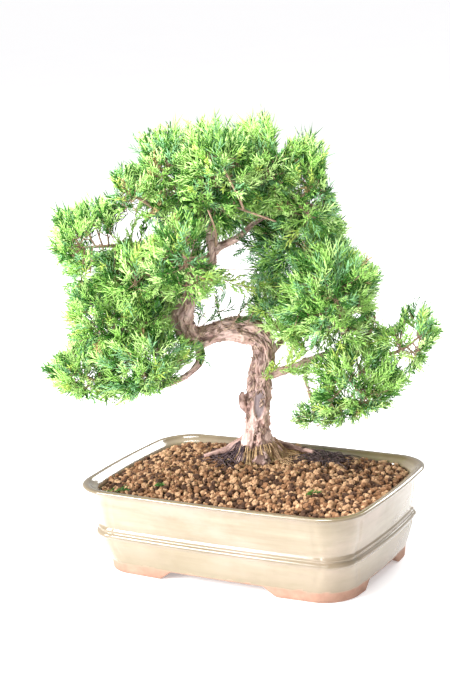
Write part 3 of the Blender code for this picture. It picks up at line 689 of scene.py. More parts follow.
def grainShapes(rng):
    # lumpy little bodies: three rings between two poles, pushed in and out by noise
    shapes = []
    sides = soil["sides"]
    tilt = np.radians([45, 90, 135])[:, None]
    turn = np.linspace(0, 2 * np.pi, sides, endpoint=False)
    turn = turn + np.array([0, 0.5, 0])[:, None] * np.pi / sides * 2
    ring = np.stack([np.sin(tilt) * np.cos(turn), np.sin(tilt) * np.sin(turn), -np.cos(tilt) + 0 * turn], -1)
    ball = np.vstack([[(0, 0, -1)], ring.reshape(-1, 3), [(0, 0, 1)]])
    for k in range(soil["shapes"]):
        lumps = 0.30 * latticeNoise(ball * 1.3 + k * 7.7, 60) + rng.uniform(-0.09, 0.09, len(ball))
        shapes.append(ball * (1 + lumps[:, None]) * rng.uniform(0.8, 1.15, 3))
    turn = np.arange(sides)
    after = (turn + 1) % sides
    faces = [np.stack([np.zeros(sides, int), 1 + after, 1 + turn], -1)]
    for low in (1, 1 + sides):
        faces.append(np.stack([low + turn, low + after, low + sides + after], -1))
        faces.append(np.stack([low + turn, low + sides + after, low + sides + turn], -1))
    top = 1 + 2 * sides
    faces.append(np.stack([top + turn, top + after, np.full(sides, 1 + 3 * sides)], -1))
    return np.stack(shapes), np.vstack(faces)


def randomTurns(rng, count):
    # rotation matrices from random unit quaternions
    w, x, y, z = unit(rng.normal(size=(count, 4))).T
    return np.stack([
        1 - 2 * (y * y + z * z), 2 * (x * y - z * w), 2 * (x * z + y * w),
        2 * (x * y + z * w), 1 - 2 * (x * x + z * z), 2 * (y * z - x * w),
        2 * (x * z - y * w), 2 * (y * z + x * w), 1 - 2 * (x * x + y * y),
    ], -1).reshape(-1, 3, 3)


def scatterGrit():
    # grains on jittered grids in three layers, kept inside the wall, each turned and sized at random
    rng = np.random.default_rng(soil["seed"])
    halfX, halfY = soil["halfGrid"]
    places = []
    for spread, drop in soil["layers"]:
        pitch = soil["spacing"] * spread
        x = np.arange(-halfX, halfX, pitch)
        y = np.arange(-halfY, halfY, pitch * 0.87)
        gridX, gridY = np.meshgrid(x, y)
        gridX = gridX + (np.arange(len(y)) % 2)[:, None] * pitch / 2
        shaken = rng.uniform(-soil["jitter"], soil["jitter"], (gridX.size, 2)) * pitch
        flat = np.stack([gridX, gridY], -1).reshape(-1, 2) + shaken
        places.append(np.column_stack([flat + middle[:2], np.full(len(flat), -drop)]))
    places = np.vstack(places)
    size = between(*soil["radius"], rng.beta(1.6, 2.6, len(places)))
    high, inside = soilHeight(places[:, :2])
    places[:, 2] += high - 0.5 * size + rng.uniform(*soil["sink"], len(places))
    keep = inside > size * 0.9
    places, size = places[keep], size[keep]
    shapes, faces = grainShapes(rng)
    turned = randomTurns(rng, len(places))
    chosen = shapes[rng.integers(len(shapes), size=len(places))]
    points = np.einsum("nij,nkj->nki", turned, chosen) * size[:, None, None] + places[:, None]
    tone = np.searchsorted(np.cumsum([t[1] for t in soil["tones"]]), rng.random(len(places)) * 0.999)
    for k, (name, _, dark, light) in enumerate(soil["tones"]):
        mine = points[tone == k]
        material = plainFinish(name, 0.92, 700.0, 2.4, dark, light, (0.5, 0.0006))
        addPiece(name, mine.reshape(-1, 3), [repeated(faces, len(mine), shapes.shape[1])], material,
                 smooth=False)


# limbs

bark = {
    "trunkSides": 128,
    "trunkStep": 0.0006,
    "boughSides": 26,
    "boughStep": 0.0008,
    "ribs": 3,
    "ribDepth": 0.07,
    "ribTwist": 90.0,
    "flareLobes": 5,
    "flareSpread": 0.0085,
    "flareHeight": 0.0075,
    # the bark: size of its strips, how they waver, the steps between its layers, and its cracks
    "stripWidth": 0.0023,
    "stripLength": 0.0062,
    "waver": 0.8,
    "waverPitch": 0.004,
    "layers": 3.2,
    "riser": 0.70,
    "stepHeight": 0.00042,
    "crackDepth": 0.0008,
    "crackWidth": 0.10,
    "fineHeight": 0.00026,
    "usualRadius": 0.0075,
    "collar": 0.5,                       # how much thicker a bough starts
    # colours: deep, middle, pale, warm
    "tones": ((0.120, 0.069, 0.057), (0.56, 0.375, 0.335), (0.92, 0.69, 0.625), (0.56, 0.34, 0.28)),
    "rootTones": ((0.075, 0.045, 0.045), (0.34, 0.21, 0.185), (0.62, 0.42, 0.37), (0.38, 0.225, 0.18)),
    "heartTones": ((0.28, 0.22, 0.23), (0.46, 0.38, 0.39)),
    # lumps on the trunk, in tenths: place, size, height
    "knobs": (
        (225, 140, 1445, 55, 22), (60, 100, 1585, 60, 16), (195, 150, 1135, 40, 24),
        (-430, 40, 1600, 70, 30), (-20, 120, 780, 50, 10), (-410, 50, 1690, 55, 30), (60, 65, 640, 50, 30),
        (-120, 60, 1960, 35, 10), (-400, 40, 1490, 50, 20), (160, 140, 1070, 45, 12),
        (-175, 60, 2090, 60, 18), (-300, 40, 1660, 50, 20),
    ),
    # darker bark and painted shade on the bark: painted shade mostly in the forks and behind the arch's end,
    # where shade falls; darker bark on the arch's rough top and on the knob at the trunk's foot; and on the
    # low bough both its dark bark and painted shade from the leaves over it. Place and size in tenths, and
    # an amount, which paints the place pale where it is below zero: a painted light on the shaded stub at
    # the arch's left end
    "darkBarkAndShade": (
        (-292, 20, 1550, 38, 1.1), (-262, 30, 1480, 30, 0.5), (-300, 20, 1600, 26, 0.4),
        (-215, 40, 1605, 38, 0.9), (-150, 40, 1618, 34, 0.8), (-75, 40, 1630, 36, 0.9),
        (10, 60, 1615, 36, 0.8), (80, 80, 1565, 32, 0.8), (140, 100, 1505, 32, 0.7),
        (-36, 170, 1020, 50, 0.9), (175, 120, 1180, 34, 0.9), (-288, 60, 1390, 60, 0.5),
        (-312, 40, 1330, 60, 0.4), (-368, 20, 1275, 65, 0.4), (-440, 0, 1235, 80, 0.4),
        (50, 50, 640, 75, 1.4), (30, 100, 690, 50, 0.8), (-385, 60, 1600, 80, -0.6),
    ),
    # smooth scar on the trunk's front: height of its middle, half height, half width as a turn
    "scar": (0.1015, 0.0105, 0.50),
    "scarTurn": math.radians(272),
    "scarDepth": 0.0012,
    "lipHeight": 0.0008,
    # loose bark that stands off the trunk's left side, in tenths as a limb is
    "flapSides": 20,
    "flap": (
        (4, 190, 935, 8), (-18, 180, 962, 17), (-32, 170, 1000, 24), (-36, 170, 1045, 23),
        (-30, 170, 1085, 12),
    ),
}

flake = {
    "seed": 23,
    "count": 420,
    "span": (0.08, 0.74),
    # more flakes stand on the arch's top, narrow and ragged
    "archCount": 320,
    "archSpan": (0.42, 0.64),
    "archWidth": 0.35,
    "length": (0.0022, 0.0070),
    "width": (0.00035, 0.0011),
    "thickness": 0.00013,
    "lift": (0.0005, 0.0022),
    "slant": 0.45,
    # width from root to tip
    "outline": (0.7, 1.0, 1.0, 0.8, 0.35),
}


def limbFrames(marks, step, isTrunk=False):
    # the limb's fine places with their radius, and two ways across it at each
    rows = smoothPath(tenths(marks), step)
    _, normal, side = pathFrames(rows[:, :3], isTrunk)
    return rows, normal, side


def limbRadius(rows, run, turn, isTrunk):
    # the limb's own radius, with a collar where a bough or root starts; the trunk has ribs and a lobed foot
    radius = np.repeat(rows[:, 3:4], len(turn), axis=1)
    if not isTrunk:
        return radius * (1 + bark["collar"] * np.exp(-run / (1.5 * rows[0, 3])))[:, None]
    high = rows[:, 2]
    radius = radius * (1 + bark["ribDepth"] * np.cos(bark["ribs"] * turn + bark["ribTwist"] * high[:, None]))
    nearFoot = np.exp(-(high - high[0]) / bark["flareHeight"])
    nearFoot[len(rows) // 3:] = 0
    lobe = 0.55 + 0.45 * np.cos(bark["flareLobes"] * turn + 0.6)
    return radius + bark["flareSpread"] * nearFoot[:, None] * lobe


def barkRelief(rows, run, radius, turn):
    # how high the bark stands, and how bare or deep each place looks: layers are noise cut into steps with
    # steep risers, as where flakes have come off, with cracks where another noise passes zero
    sides = len(turn)
    seed = int(abs(rows[-1, :3]).sum() * 1e4) % 97
    flat = radius[..., None] * circle(turn) / bark["stripWidth"]
    place = np.dstack([flat * 0.6, np.repeat(run[:, None] / bark["waverPitch"], sides, 1)])
    warp = bark["waver"] * fractalNoise(place, seed + 9, 2)
    pattern = np.dstack([flat + warp[..., None] * 0.5, run[:, None] / bark["stripLength"] + warp])
    layer = fractalNoise(pattern, seed, 3) * bark["layers"]
    whole = np.floor(layer)
    layer = whole + smoothStep(bark["riser"], 1.0, layer - whole)
    coarse = fractalNoise(pattern * (1.2, 1.2, 0.7) + 17, seed + 3, 2)
    cracks = np.exp(-(coarse / bark["crackWidth"])**2)
    fine = fractalNoise(pattern * (3, 3, 7), seed + 5, 2)
    amount = np.clip(rows[:, 3:4] / bark["usualRadius"], 0.25, 1.1)
    lift = amount * (bark["stepHeight"] * layer - bark["crackDepth"] * cracks)
    lift = lift + np.clip(amount, 0.45, 1) * bark["fineHeight"] * fine
    return lift, np.clip(layer * 0.32 - cracks * 0.8 + fine * 0.22, -1.2, 1.2)


def cutScar(high, turn, lift, reliefAndShade):
    # an oval of bare wood on the trunk's front, sunk inside a raised lip
    middleHigh, halfHigh, halfTurn = bark["scar"]
    off = (turn - bark["scarTurn"] + np.pi) % (2 * np.pi) - np.pi
    inside = ((high - middleHigh) / halfHigh)**2 + (off / halfTurn)**2
    scar = 1 - smoothStep(0.72, 0.95, inside)
    lip = np.exp(-((inside - 1.1) / 0.22)**2)
    lift = lift * (1 - scar) - bark["scarDepth"] * scar + bark["lipHeight"] * lip
    reliefAndShade = reliefAndShade * (1 - scar) + 0.45 * lip - 0.9 * scar * smoothStep(0.2, 0.36, -off)
    return lift, reliefAndShade, scar


def limbSurface(marks, sides, step, isTrunk=False):
    # a tube along the limb's path: its radius, and the bark's relief lifted out of it
    rows, normal, side = limbFrames(marks, step, isTrunk)
    places = rows[:, :3]
    run = np.concatenate([[0], np.cumsum(np.linalg.norm(np.diff(places, axis=0), axis=1))])
    turn = np.linspace(0, 2 * np.pi, sides, endpoint=False)
    arm = normal[:, None] * np.cos(turn)[:, None] + side[:, None] * np.sin(turn)[:, None]
    radius = limbRadius(rows, run, turn, isTrunk)
    skin = places[:, None] + arm * radius[..., None]
    lift, reliefAndShade = barkRelief(rows, run, radius, turn)
    scar = np.zeros_like(radius)
    if isTrunk:
        lift, reliefAndShade, scar = cutScar(places[:, 2:3], turn, lift, reliefAndShade)
        knobs = tenths(bark["knobs"])
        lift = heaped(lift, skin, knobs[:, :3], knobs[:, 3], knobs[:, 4])
    # painted shade, darker bark and one painted light, heaped into the relief that sets the bark's tone
    darkBarkAndShade = tenths(bark["darkBarkAndShade"])
    reliefAndShade = heaped(reliefAndShade, skin, darkBarkAndShade[:, :3], darkBarkAndShade[:, 3], [-row[4] for row in bark["darkBarkAndShade"]])
    points, quads, fans = closedBand(toPlant(skin + arm * lift[..., None]))
    values = {}
    for label, data in (("reliefAndShade", reliefAndShade), ("scar", scar)):
        values[label] = np.concatenate([data.ravel(), [0, 0]])
    grain = np.dstack([radius[..., None] * circle(turn), np.repeat(run[:, None], sides, 1)])
    values["grain"] = np.vstack([grain.reshape(-1, 3), [(0, 0, 0), (0, 0, run[-1])]])
    return (points, quads, fans), values


def barkFinish(name, deep, mid, pale, warm):
    # mottled along the grain with warm patches, deep in the cracks and in the painted shade heaped into the
    # relief, pale on top and where painted light is heaped in, bare wood in the scar
    finish = Finish(name, 0.85, Specular_IOR_Level=0.25)
    grain = finish.stretched((1, 1, 0.3), finish.value("grain", "Vector"))
    reliefAndShade = finish.value("reliefAndShade")
    tone = finish.spots(620.0, 3.6, mid, pale, grain)
    patch = finish.spots(110.0, 4.0, black, white)
    base = finish.mixed(finish.ranged(patch["Height"], 0.42, 0.60, 0.0, 0.65), tone["Color"], warm)
    # deep where the relief is low, in cracks and painted shade; pale where it is high, on raised bark and
    # painted light
    base = finish.mixed(finish.ranged(reliefAndShade, -1.30, 0.10, 0.95, 0.0), base, deep)
    base = finish.mixed(finish.ranged(reliefAndShade, 0.25, 0.95, 0.0, 0.75), base, pale)
    heart = finish.spots(600.0, 2.0, *bark["heartTones"], grain)
    base = finish.mixed(finish.value("scar"), base, heart["Color"])
    finish.feed("Base Color", base)
    finish.bumped(tone["Height"], 0.6, 0.0008)
    return finish.material


def barkPiece(name, surfaces, material, replaced):
    # several limbs' surfaces and their values as one piece
    points, quads, fans = joined([surface for surface, _ in surfaces])
    values = {}
    for label in ("reliefAndShade", "scar", "grain"):
        values[label] = np.concatenate([v[label] for _, v in surfaces])
    addPiece(name, points, [quads, fans], material, replaced, values)


def makeFlakes():
    # peeling bark: thin slivers along the trunk, fixed at one end, whose other end curls away from it
    rng = np.random.default_rng(flake["seed"])
    rows, normal, side = limbFrames(tree["trunk"], bark["trunkStep"], True)
    along = unit(np.gradient(rows[:, :3], axis=0))
    count = flake["count"] + flake["archCount"]
    onArch = np.arange(count) >= flake["count"]
    archShare = between(*flake["archSpan"], rng.random(count))
    trunkShare = between(*flake["span"], rng.random(count))
    k = (np.where(onArch, archShare, trunkShare) * len(rows)).astype(int)
    turn = rng.uniform(0, 2 * np.pi, count)
    arm = normal[k] * np.cos(turn)[:, None] + side[k] * np.sin(turn)[:, None]
    arm = np.where(onArch[:, None], unit(arm * 0.7 + np.array((0, -0.35, 0.8))), arm)
    arm = unit(arm - along[k] * (arm * along[k]).sum(-1, keepdims=True))
    lead = unit(along[k] * rng.choice((-1, 1), count)[:, None]
                + np.cross(along[k], arm) * rng.normal(scale=flake["slant"], size=(count, 1)))
    root = rows[k, :3] + arm * (rows[k, 3:4] * 0.98)
    length = between(*flake["length"], rng.beta(1.5, 2.5, (count, 1)))
    lift = between(*flake["lift"], rng.beta(1.3, 2.5, (count, 1)))
    share = np.linspace(0, 1, len(flake["outline"]))[:, None]
    path = root[:, None] + lead[:, None] * length[:, None] * share + arm[:, None] * lift[:, None] * share**2
    wide = between(*flake["width"], rng.random(count)) * np.where(onArch, flake["archWidth"], 1.0)
    broad = np.cross(lead, arm)[:, None, None] * wide[:, None, None, None]
    flat = arm[:, None, None] * flake["thickness"]
    swell = np.array(flake["outline"])[:, None, None]
    ring = np.array(((1, 0), (0, 1), (-1, 0), (0, -1)))
    skin = path[:, :, None] + swell * broad * ring[:, :1] + flat * ring[:, 1:]
    points, quads, fans = manyBands(skin, path)
    material = plainFinish("flakeBark", 0.85, 260.0, 4.0, (0.17, 0.10, 0.07), (0.74, 0.53, 0.42))
    addPiece("barkFlakes", toPlant(points), [quads, fans], material)


def makeLimbs():
    trunk = limbSurface(tree["trunk"], bark["trunkSides"], bark["trunkStep"], True)
    flap = limbSurface(bark["flap"], bark["flapSides"], bark["trunkStep"])
    material = barkFinish("bark", *bark["tones"])
    barkPiece("trunkBark", [trunk, flap], material, ["trunk"])
    for name, kind, finish in (("boughBark", "bough", material),
                               ("rootBark", "root", barkFinish("rootBark", *bark["rootTones"]))):
        limbs = tree[kind + "s"]
        surfaces = [limbSurface(marks, bark["boughSides"], bark["boughStep"]) for marks in limbs.values()]
        barkPiece(name, surfaces, finish, [f"{kind}_{label}" for label in limbs])
    makeFlakes()
    makeStrands()


# thin roots over the soil

strand = {
    "seed": 5,
    "middle": (0.005, 0.0215),
    "startRadius": 0.0115,
    "startHigh": (0.0690, 0.0745),
    "meander": 0.0022,
    "steps": 12,
    "sides": 5,
    "overSoil": (-0.0006, 0.0016),       # height of their ends over the soil
    "wave": 0.0004,
    "matHigh": 0.0006,
    # bundles: count, turn from and to, reach from and to, thickness, dark and light colour
    "bundles": {
        "rootStrandsDark": (34, (125, 235), (0.016, 0.034), 0.00040,
                            (0.035, 0.022, 0.030), (0.13, 0.085, 0.095)),
        "rootStrandsBrown": (30, (-55, 40), (0.016, 0.032), 0.00040,
                             (0.20, 0.115, 0.060), (0.50, 0.33, 0.20)),
        "rootStrandsPale": (70, (205, 335), (0.013, 0.024), 0.00042,
                            (0.22, 0.125, 0.050), (0.60, 0.42, 0.24)),
    },
    # mats: middle, half sizes, count, length, thickness, height, dark and light colour
    "mats": {
        "rootMatLeft": ((-0.0140, 0.0250), (0.0120, 0.0120), 110, 0.016, 0.00038, 0.0030,
                        (0.030, 0.018, 0.024), (0.15, 0.095, 0.095)),
        "rootMatRight": ((0.0490, 0.0130), (0.0130, 0.0130), 150, 0.014, 0.00040, 0.0034,
                         (0.028, 0.016, 0.018), (0.12, 0.075, 0.070)),
        "rootMatTan": ((0.0170, 0.0180), (0.0110, 0.0110), 110, 0.015, 0.00036, 0.0026,
                       (0.24, 0.135, 0.055), (0.58, 0.39, 0.21)),
    },
}


def addStrands(name, paths, thickness, taper, dark, light):
    points, quads, fans = twigTubes(paths, thickness, thickness * taper, strand["sides"])
    material = plainFinish(name, 0.85, 300.0, 3.0, dark, light, (0.4, 0.0004))
    addPiece(name, points, [quads, fans], material)


def makeStrands():
    # curves from the foot's flare down to the soil and on over it, swaying by a random walk
    rng = np.random.default_rng(strand["seed"])
    steps = strand["steps"]
    share = np.linspace(0, 1, steps)
    for name, (count, turns, reach, thickness, dark, light) in strand["bundles"].items():
        turn = np.radians(rng.uniform(*turns, count))[:, None]
        away = between(strand["startRadius"], between(*reach, rng.beta(1.4, 1.6, (count, 1))), share**0.9)
        sway = np.cumsum(rng.normal(scale=strand["meander"] / 3, size=(count, steps)), axis=1) * share
        flat = np.stack([np.cos(turn) * away - np.sin(turn) * sway,
                         np.sin(turn) * away + np.cos(turn) * sway], -1) + np.array(strand["middle"])
        place = toPlant(np.dstack([flat, np.zeros((count, steps))]))
        ground = soilHeight(place[..., :2])[0] + rng.uniform(*strand["overSoil"], (count, 1))
        fall = 1 - smoothStep(0.0, 0.55, share)
        place[..., 2] = between(ground, rng.uniform(*strand["startHigh"], (count, 1)), fall)
        place[..., 2] += rng.normal(scale=strand["wave"], size=(count, steps)) * share
        addStrands(name, place, thickness, 0.35, dark, light)
    # mats: curved strands that start anywhere in an ellipse and arch a little over the soil
    for name, (centre, half, count, length, thickness, rise, dark, light) in strand["mats"].items():
        turn = rng.uniform(0, 2 * np.pi, count)
        away = np.sqrt(rng.random(count))
        start = np.array(centre) + circle(turn) * away[:, None] * np.array(half)
        lead = rng.uniform(0, 2 * np.pi, (count, 1)) + rng.normal(scale=0.9, size=(count, 1)) * share
        step = length * rng.uniform(0.5, 1.2, (count, 1)) / steps
        flat = start[:, None] + np.cumsum(circle(lead) * step[..., None], axis=1)
        place = toPlant(np.dstack([flat, np.zeros((count, steps))]))
        arch = rise * rng.random((count, 1)) * np.sin(np.pi * share) * (1 - 0.6 * away[:, None])
        place[..., 2] = soilHeight(place[..., :2])[0] + strand["matHigh"] + arch
        addStrands(name, place, thickness, 0.5, dark, light)


# foliage

crown = {
    "seed": 19,
    # the masses' rooms: how much noise thins their depth, its pitch, the power of their round shape, how far
    # apart two may be and still have a wall between them, and how far leaves pass that wall
    "swell": 0.75,
    "swellPitch": 0.020,
    "fullness": 2.8,
    "wallReach": 0.01,
    "overlap": 0.004,
    # the way the crown is seen from the front and a little above
    "sightSlope": math.tan(math.radians(13.3)),
    "sightDepth": 0.010,
    "sightMiddle": (-0.0117, 0.150),
    "sightAway": 0.98,
    # outline of the whole crown as it is seen, in tenths: across and high
    "edge": (
        (-20, 2900), (120, 2840), (230, 2890), (280, 2770), (310, 2630), (400, 2700), (540, 2750),
        (600, 2640), (560, 2490), (620, 2330), (670, 2140), (710, 1980), (810, 1920), (890, 1830),
        (850, 1680), (830, 1560), (910, 1490), (1000, 1550), (1110, 1610), (1210, 1540), (1260, 1410),
        (1200, 1300), (1140, 1200), (1050, 1110), (920, 980), (780, 890), (600, 840), (400, 810),
        (270, 880), (330, 980), (450, 1070), (430, 1230), (220, 1200), (60, 1350), (-60, 1500),
        (-210, 1370), (-360, 1260), (-560, 1150), (-850, 1100), (-1050, 1130), (-1180, 1190), (-1310, 1330),
        (-1230, 1400), (-1120, 1470), (-1100, 1560), (-1130, 1680), (-1080, 1770), (-1110, 1850),
        (-1040, 1900), (-1110, 2000), (-1150, 2100), (-1180, 2230), (-1130, 2360), (-1000, 2380),
        (-840, 2410), (-730, 2470), (-760, 2550), (-660, 2620), (-590, 2700), (-640, 2810), (-510, 2790),
        (-410, 2850), (-300, 2840), (-180, 2890),
    ),
    # open places between the pads, in tenths: middle across and high, half sizes
    "openMargin": 0.0014,
    "raggedness": 0.55,
    "raggedPitch": 0.0045,
    "openPlaces": (
        (-10, 1990, 105, 80), (60, 2090, 50, 60), (-50, 1705, 110, 55), (-640, 2200, 100, 85),
        (-820, 2120, 60, 30), (-925, 1957, 35, 17), (240, 1400, 22, 60), (410, 1140, 42, 95),
        (-120, 1160, 190, 300), (930, 1530, 60, 60), (320, 1870, 30, 25), (-200, 1680, 60, 40),
        (720, 1560, 28, 10), (-620, 2660, 62, 36), (300, 2690, 14, 60),
    ),
    # share of the sprays left out where the pad is looser
    "thinned": {"right_tip": 0.30, "right_side": 0.15},
    # where a limb shows with nothing before it, in tenths: middle across and high, half sizes, its depth
    "barePlaces": (
        (-370, 1600, 100, 130, 120), (50, 1480, 190, 130, 200), (-160, 2080, 60, 130, 120),
        (-240, 1520, 120, 100, 140), (240, 1210, 120, 55, 160), (-370, 1270, 80, 50, 40),
        (160, 1300, 100, 100, 200), (-920, 2130, 100, 30, 60), (480, 1310, 60, 30, 80),
    ),
    # masses of foliage: the limb that carries each, and in tenths its middle and its half sizes
    "masses": {
        "apex": ("trunk", (-100, 0, 2510), (280, 340, 370)),
        "apex_left": ("crown_left", (-410, 80, 2530), (310, 320, 330)),
        "apex_right": ("apex_right", (210, 100, 2550), (270, 320, 340)),
        "crown_right": ("crown_right", (460, 100, 2390), (280, 320, 370)),
        "crown_back": ("back_crown", (-40, 500, 2360), (480, 280, 400)),
        "shoulder": ("shoulder", (-610, 20, 2420), (220, 280, 250)),
        "outer_left": ("upper_left", (-890, 20, 2130), (320, 300, 320)),
        "inner_left": ("inner_left", (-660, -40, 1960), (300, 320, 250)),
        "front": ("front", (-330, -200, 2050), (250, 240, 290)),
        "middle_left": ("middle_left", (-790, 0, 1680), (390, 340, 280)),
        "lower_left": ("lower_left_side", (-640, -80, 1370), (380, 320, 300)),
        "left_tip": ("lower_left", (-1030, -30, 1340), (300, 300, 260)),
        "back_left": ("back_left", (-580, 480, 1780), (440, 280, 400)),
        "upper_right": ("right_drop", (380, 220, 2040), (380, 300, 270)),
        "middle_right": ("riser", (570, -60, 1730), (350, 320, 360)),
        "inner_right": ("inner_right", (250, 180, 1610), (210, 260, 270)),
        "right_side": ("right_side", (850, 100, 1540), (200, 240, 220)),
        "right_tip": ("lower_right", (1040, 0, 1380), (240, 270, 290)),
        "right_low": ("right_low", (700, -100, 1120), (360, 280, 280)),
        "hanging": ("hanging", (420, -20, 970), (210, 200, 160)),
        "back_right": ("back_right", (620, 480, 1620), (400, 280, 400)),
    },
    "stemSink": 0.002,                   # the stem starts inside its limb
    "stemEnd": 0.35,                     # share of the way from the room's middle to its far side
    "stemRings": 14,
    "rootPull": 0.2,                     # how much twigs keep to the stem's start
    "sag": 0.12,
    "sprigSag": 0.15,
    "fewestTwigs": 5,
    "twigReach": 0.62,                   # share of the way to the room's edge
    "sprigReach": 0.84,
    "reachSpread": (0.80, 1.08),
    "tuftWidth": 0.22,
    "valley": 0.70,                      # length of the sprigs between two tufts
    "heldShare": 0.7,                    # sprigs with less in the room are left out
    "areaEachTwig": 0.00085,
    "areaEachSprig": 0.000135,
    # share of the sprig where sprays stand, and how far they lean out there
    "sprayRows": ((1.0, 0.25), (0.84, 0.8), (0.66, 0.9), (0.48, 1.0), (0.28, 1.0)),
    "sprayLengths": (0.0085, 0.0190),
    "twigRings": 6,
    # thickness at root and tip, sides
    "stem": (0.0014, 0.0007, 8),
    "twig": (0.0007, 0.00042, 5),
    "sprig": (0.00038, 0.00022, 4),
}
massNodes = ["foliage_" + name for name in crown["masses"]]

# lone twigs between the pads: marks in tenths, number of sprays, their mean length in tenths, tones,
# whether needles
stray = {
    "seed": 3,
    "thickness": 0.00032,
    "start": 0.12,
    "twigs": (
        (((-285, 60, 1440), (-268, 20, 1400), (-266, 0, 1360), (-285, 0, 1320)),
         10, 60, ("Deep", "Fresh", "Blue"), True),
        (((-230, 80, 1930), (-164, 60, 1912), (-86, 60, 1848), (0, 60, 1810), (94, 60, 1796),
          (220, 60, 1782)),
         34, 80, ("Lime", "Bright"), False),
        (((-155, 80, 1921), (0, 80, 1912), (110, 80, 1904)), 0, 0, (), False),
        (((400, 120, 2150), (349, 80, 2128), (240, 80, 2084), (130, 80, 2054), (36, 80, 2054)),
         26, 105, ("Blue", "Deep"), True),
        (((400, 120, 1890), (337, 80, 1911), (225, 80, 1944), (139, 80, 1983)),
         22, 110, ("Blue", "Deep", "Blue"), True),
        (((350, 120, 1790), (292, 80, 1798), (192, 80, 1818), (130, 80, 1865)),
         20, 100, ("Blue", "Fresh"), True),
        (((380, 80, 1540), (314, 40, 1558), (216, 40, 1623), (143, 40, 1680)),
         20, 100, ("Bright", "Blue"), True),
        (((440, 40, 1380), (378, 0, 1379), (281, 0, 1465), (195, 0, 1563)),
         26, 110, ("Bright", "Fresh"), True),
        (((110, 120, 1480), (170, 60, 1500), (250, 20, 1480), (320, 0, 1420)),
         22, 100, ("Bright", "Fresh"), True),
        (((-296, 40, 1560), (-226, 40, 1661), (-121, 40, 1712)), 4, 110, ("Deep", "Blue"), True),
        (((-249, 40, 1580), (-160, 40, 1650), (-85, 40, 1677)), 4, 90, ("Deep",), True),
        (((-128, 40, 1570), (-150, 40, 1680), (-166, 40, 1790)), 4, 90, ("Deep", "Fresh"), True),
        (((-64, 40, 1570), (0, 40, 1650), (44, 40, 1707)), 4, 80, ("Deep",), True),
        (((30, 40, 1560), (80, 40, 1650), (133, 40, 1714)), 5, 90, ("Blue", "Fresh"), True),
        (((385, 80, 1260), (395, 80, 1146), (416, 80, 1058), (445, 70, 960)),
         6, 60, ("Bright", "Lime"), False),
        (((-680, 60, 2100), (-664, 60, 2133), (-636, 60, 2252), (-607, 60, 2370)),
         8, 90, ("Fresh", "Bright"), False),
        (((-640, 60, 2090), (-614, 60, 2129), (-543, 60, 2239), (-496, 60, 2280)),
         8, 90, ("Fresh", "Deep"), False),
        (((80, 100, 1190), (150, 40, 1230), (260, 20, 1270), (330, 20, 1330)),
         18, 85, ("Bright", "Lime"), False),
        (((240, 60, 1260), (300, 0, 1220), (380, -20, 1210), (460, -20, 1230)),
         18, 90, ("Bright", "Fresh"), True),
    ),
    # bare brown twigs that stand out in front of the leaves, in tenths
    "bareTwigs": (
        ((-135, 40, 2080), (-129, -160, 2187), (-141, -240, 2274), (-166, -260, 2356)),
        ((50, -160, 2330), (32, -240, 2397), (-15, -260, 2511), (-63, -240, 2617)),
        ((-10, -40, 2360), (30, -120, 2330), (138, -140, 2285), (246, -120, 2234)),
    ),
    "bareThickness": 0.00085,
    "tones": ((0.24, 0.14, 0.09), (0.52, 0.35, 0.25)),
    # fallen sprigs on the soil: place across and deep in tenths, way, length in tenths
    "fallen": (
        ((-1000, -100), (1.0, 0.1), 80), ((-900, -105), (0.9, 0.25), 90),
        ((-640, -115), (1.0, 0.0), 60), ((300, -560), (0.9, 0.35), 90),
    ),
    "lieHigh": 0.0016,
}

spray = {
    "seed": 7,
    "shootRadius": 0.00047,
    "widest": 0.42,
    "mostTriangles": 195000,             # in one piece
    # scale shoots fork all round, and needles stand straight on the main shoot: number of shapes and of side
    # shoots, where these begin, their angle and length, thickness of the three orders, forks on each
    "scale": {"shapes": 12, "sides": 8, "first": 0.08, "angle": 27.0, "long": 0.28, "short": 0.28,
              "thick": (1.1, 1.0, 0.95), "forks": (0.35,)},
    "needle": {"shapes": 8, "sides": 13, "first": 0.04, "angle": 32.0, "long": 0.06, "short": 0.56,
               "thick": (0.80, 0.74, 0.5), "forks": ()},
    "needleShare": 0.50,
    "needleShares": {
        "middle_right": 0.80, "inner_right": 0.95, "hanging": 0.85, "right_low": 0.80, "lower_left": 0.80,
        "middle_left": 0.70, "upper_right": 0.75, "right_side": 0.90, "back_left": 0.60, "left_tip": 0.70,
        "right_tip": 0.70,
    },
    # name, share of the outer sprays, share of the inner ones, base colour. Bright is the green as lit, a
    # painted highlight, and Deep the green in shade, a painted shade, which is also the dark green of the
    # fallen sprigs
    "tones": (
        ("Fresh", 0.40, 0.28, (0.360, 0.640, 0.145)),
        ("Bright", 0.42, 0.10, (0.550, 0.800, 0.275)),
        ("Lime", 0.06, 0.02, (0.560, 0.720, 0.150)),
        ("Deep", 0.02, 0.44, (0.036, 0.150, 0.012)),
        ("Blue", 0.10, 0.16, (0.225, 0.470, 0.215)),
        ("Brown", 0.00, 0.02, (0.480, 0.340, 0.160)),
    ),
    "tintMore": 0.30,
    "tints": {
        "front": "Bright", "middle_right": "Fresh", "upper_right": "Blue", "inner_right": "Blue",
        "lower_left": "Bright", "left_tip": "Bright", "right_tip": "Bright", "outer_left": "Fresh",
    },
}


def makeRooms():
    # each mass's room is a rounded body, cut by a wall between it and each near neighbour
    rooms = {name: {"middle": tenths(place), "half": tenths(half), "walls": []}
             for name, (_, place, half) in crown["masses"].items()}
    for room in rooms.values():
        for other in rooms.values():
            if other is room:
                continue
            away = other["middle"] - room["middle"]
            apart = np.linalg.norm(away)
            away = away / apart
            mine, theirs = (((np.abs(away / half)**crown["fullness"]).sum())**(-1 / crown["fullness"])
                            for half in (room["half"], other["half"]))
            if mine + theirs + crown["wallReach"] > apart:
                room["walls"].append((away, apart * mine / (mine + theirs)))
    return rooms


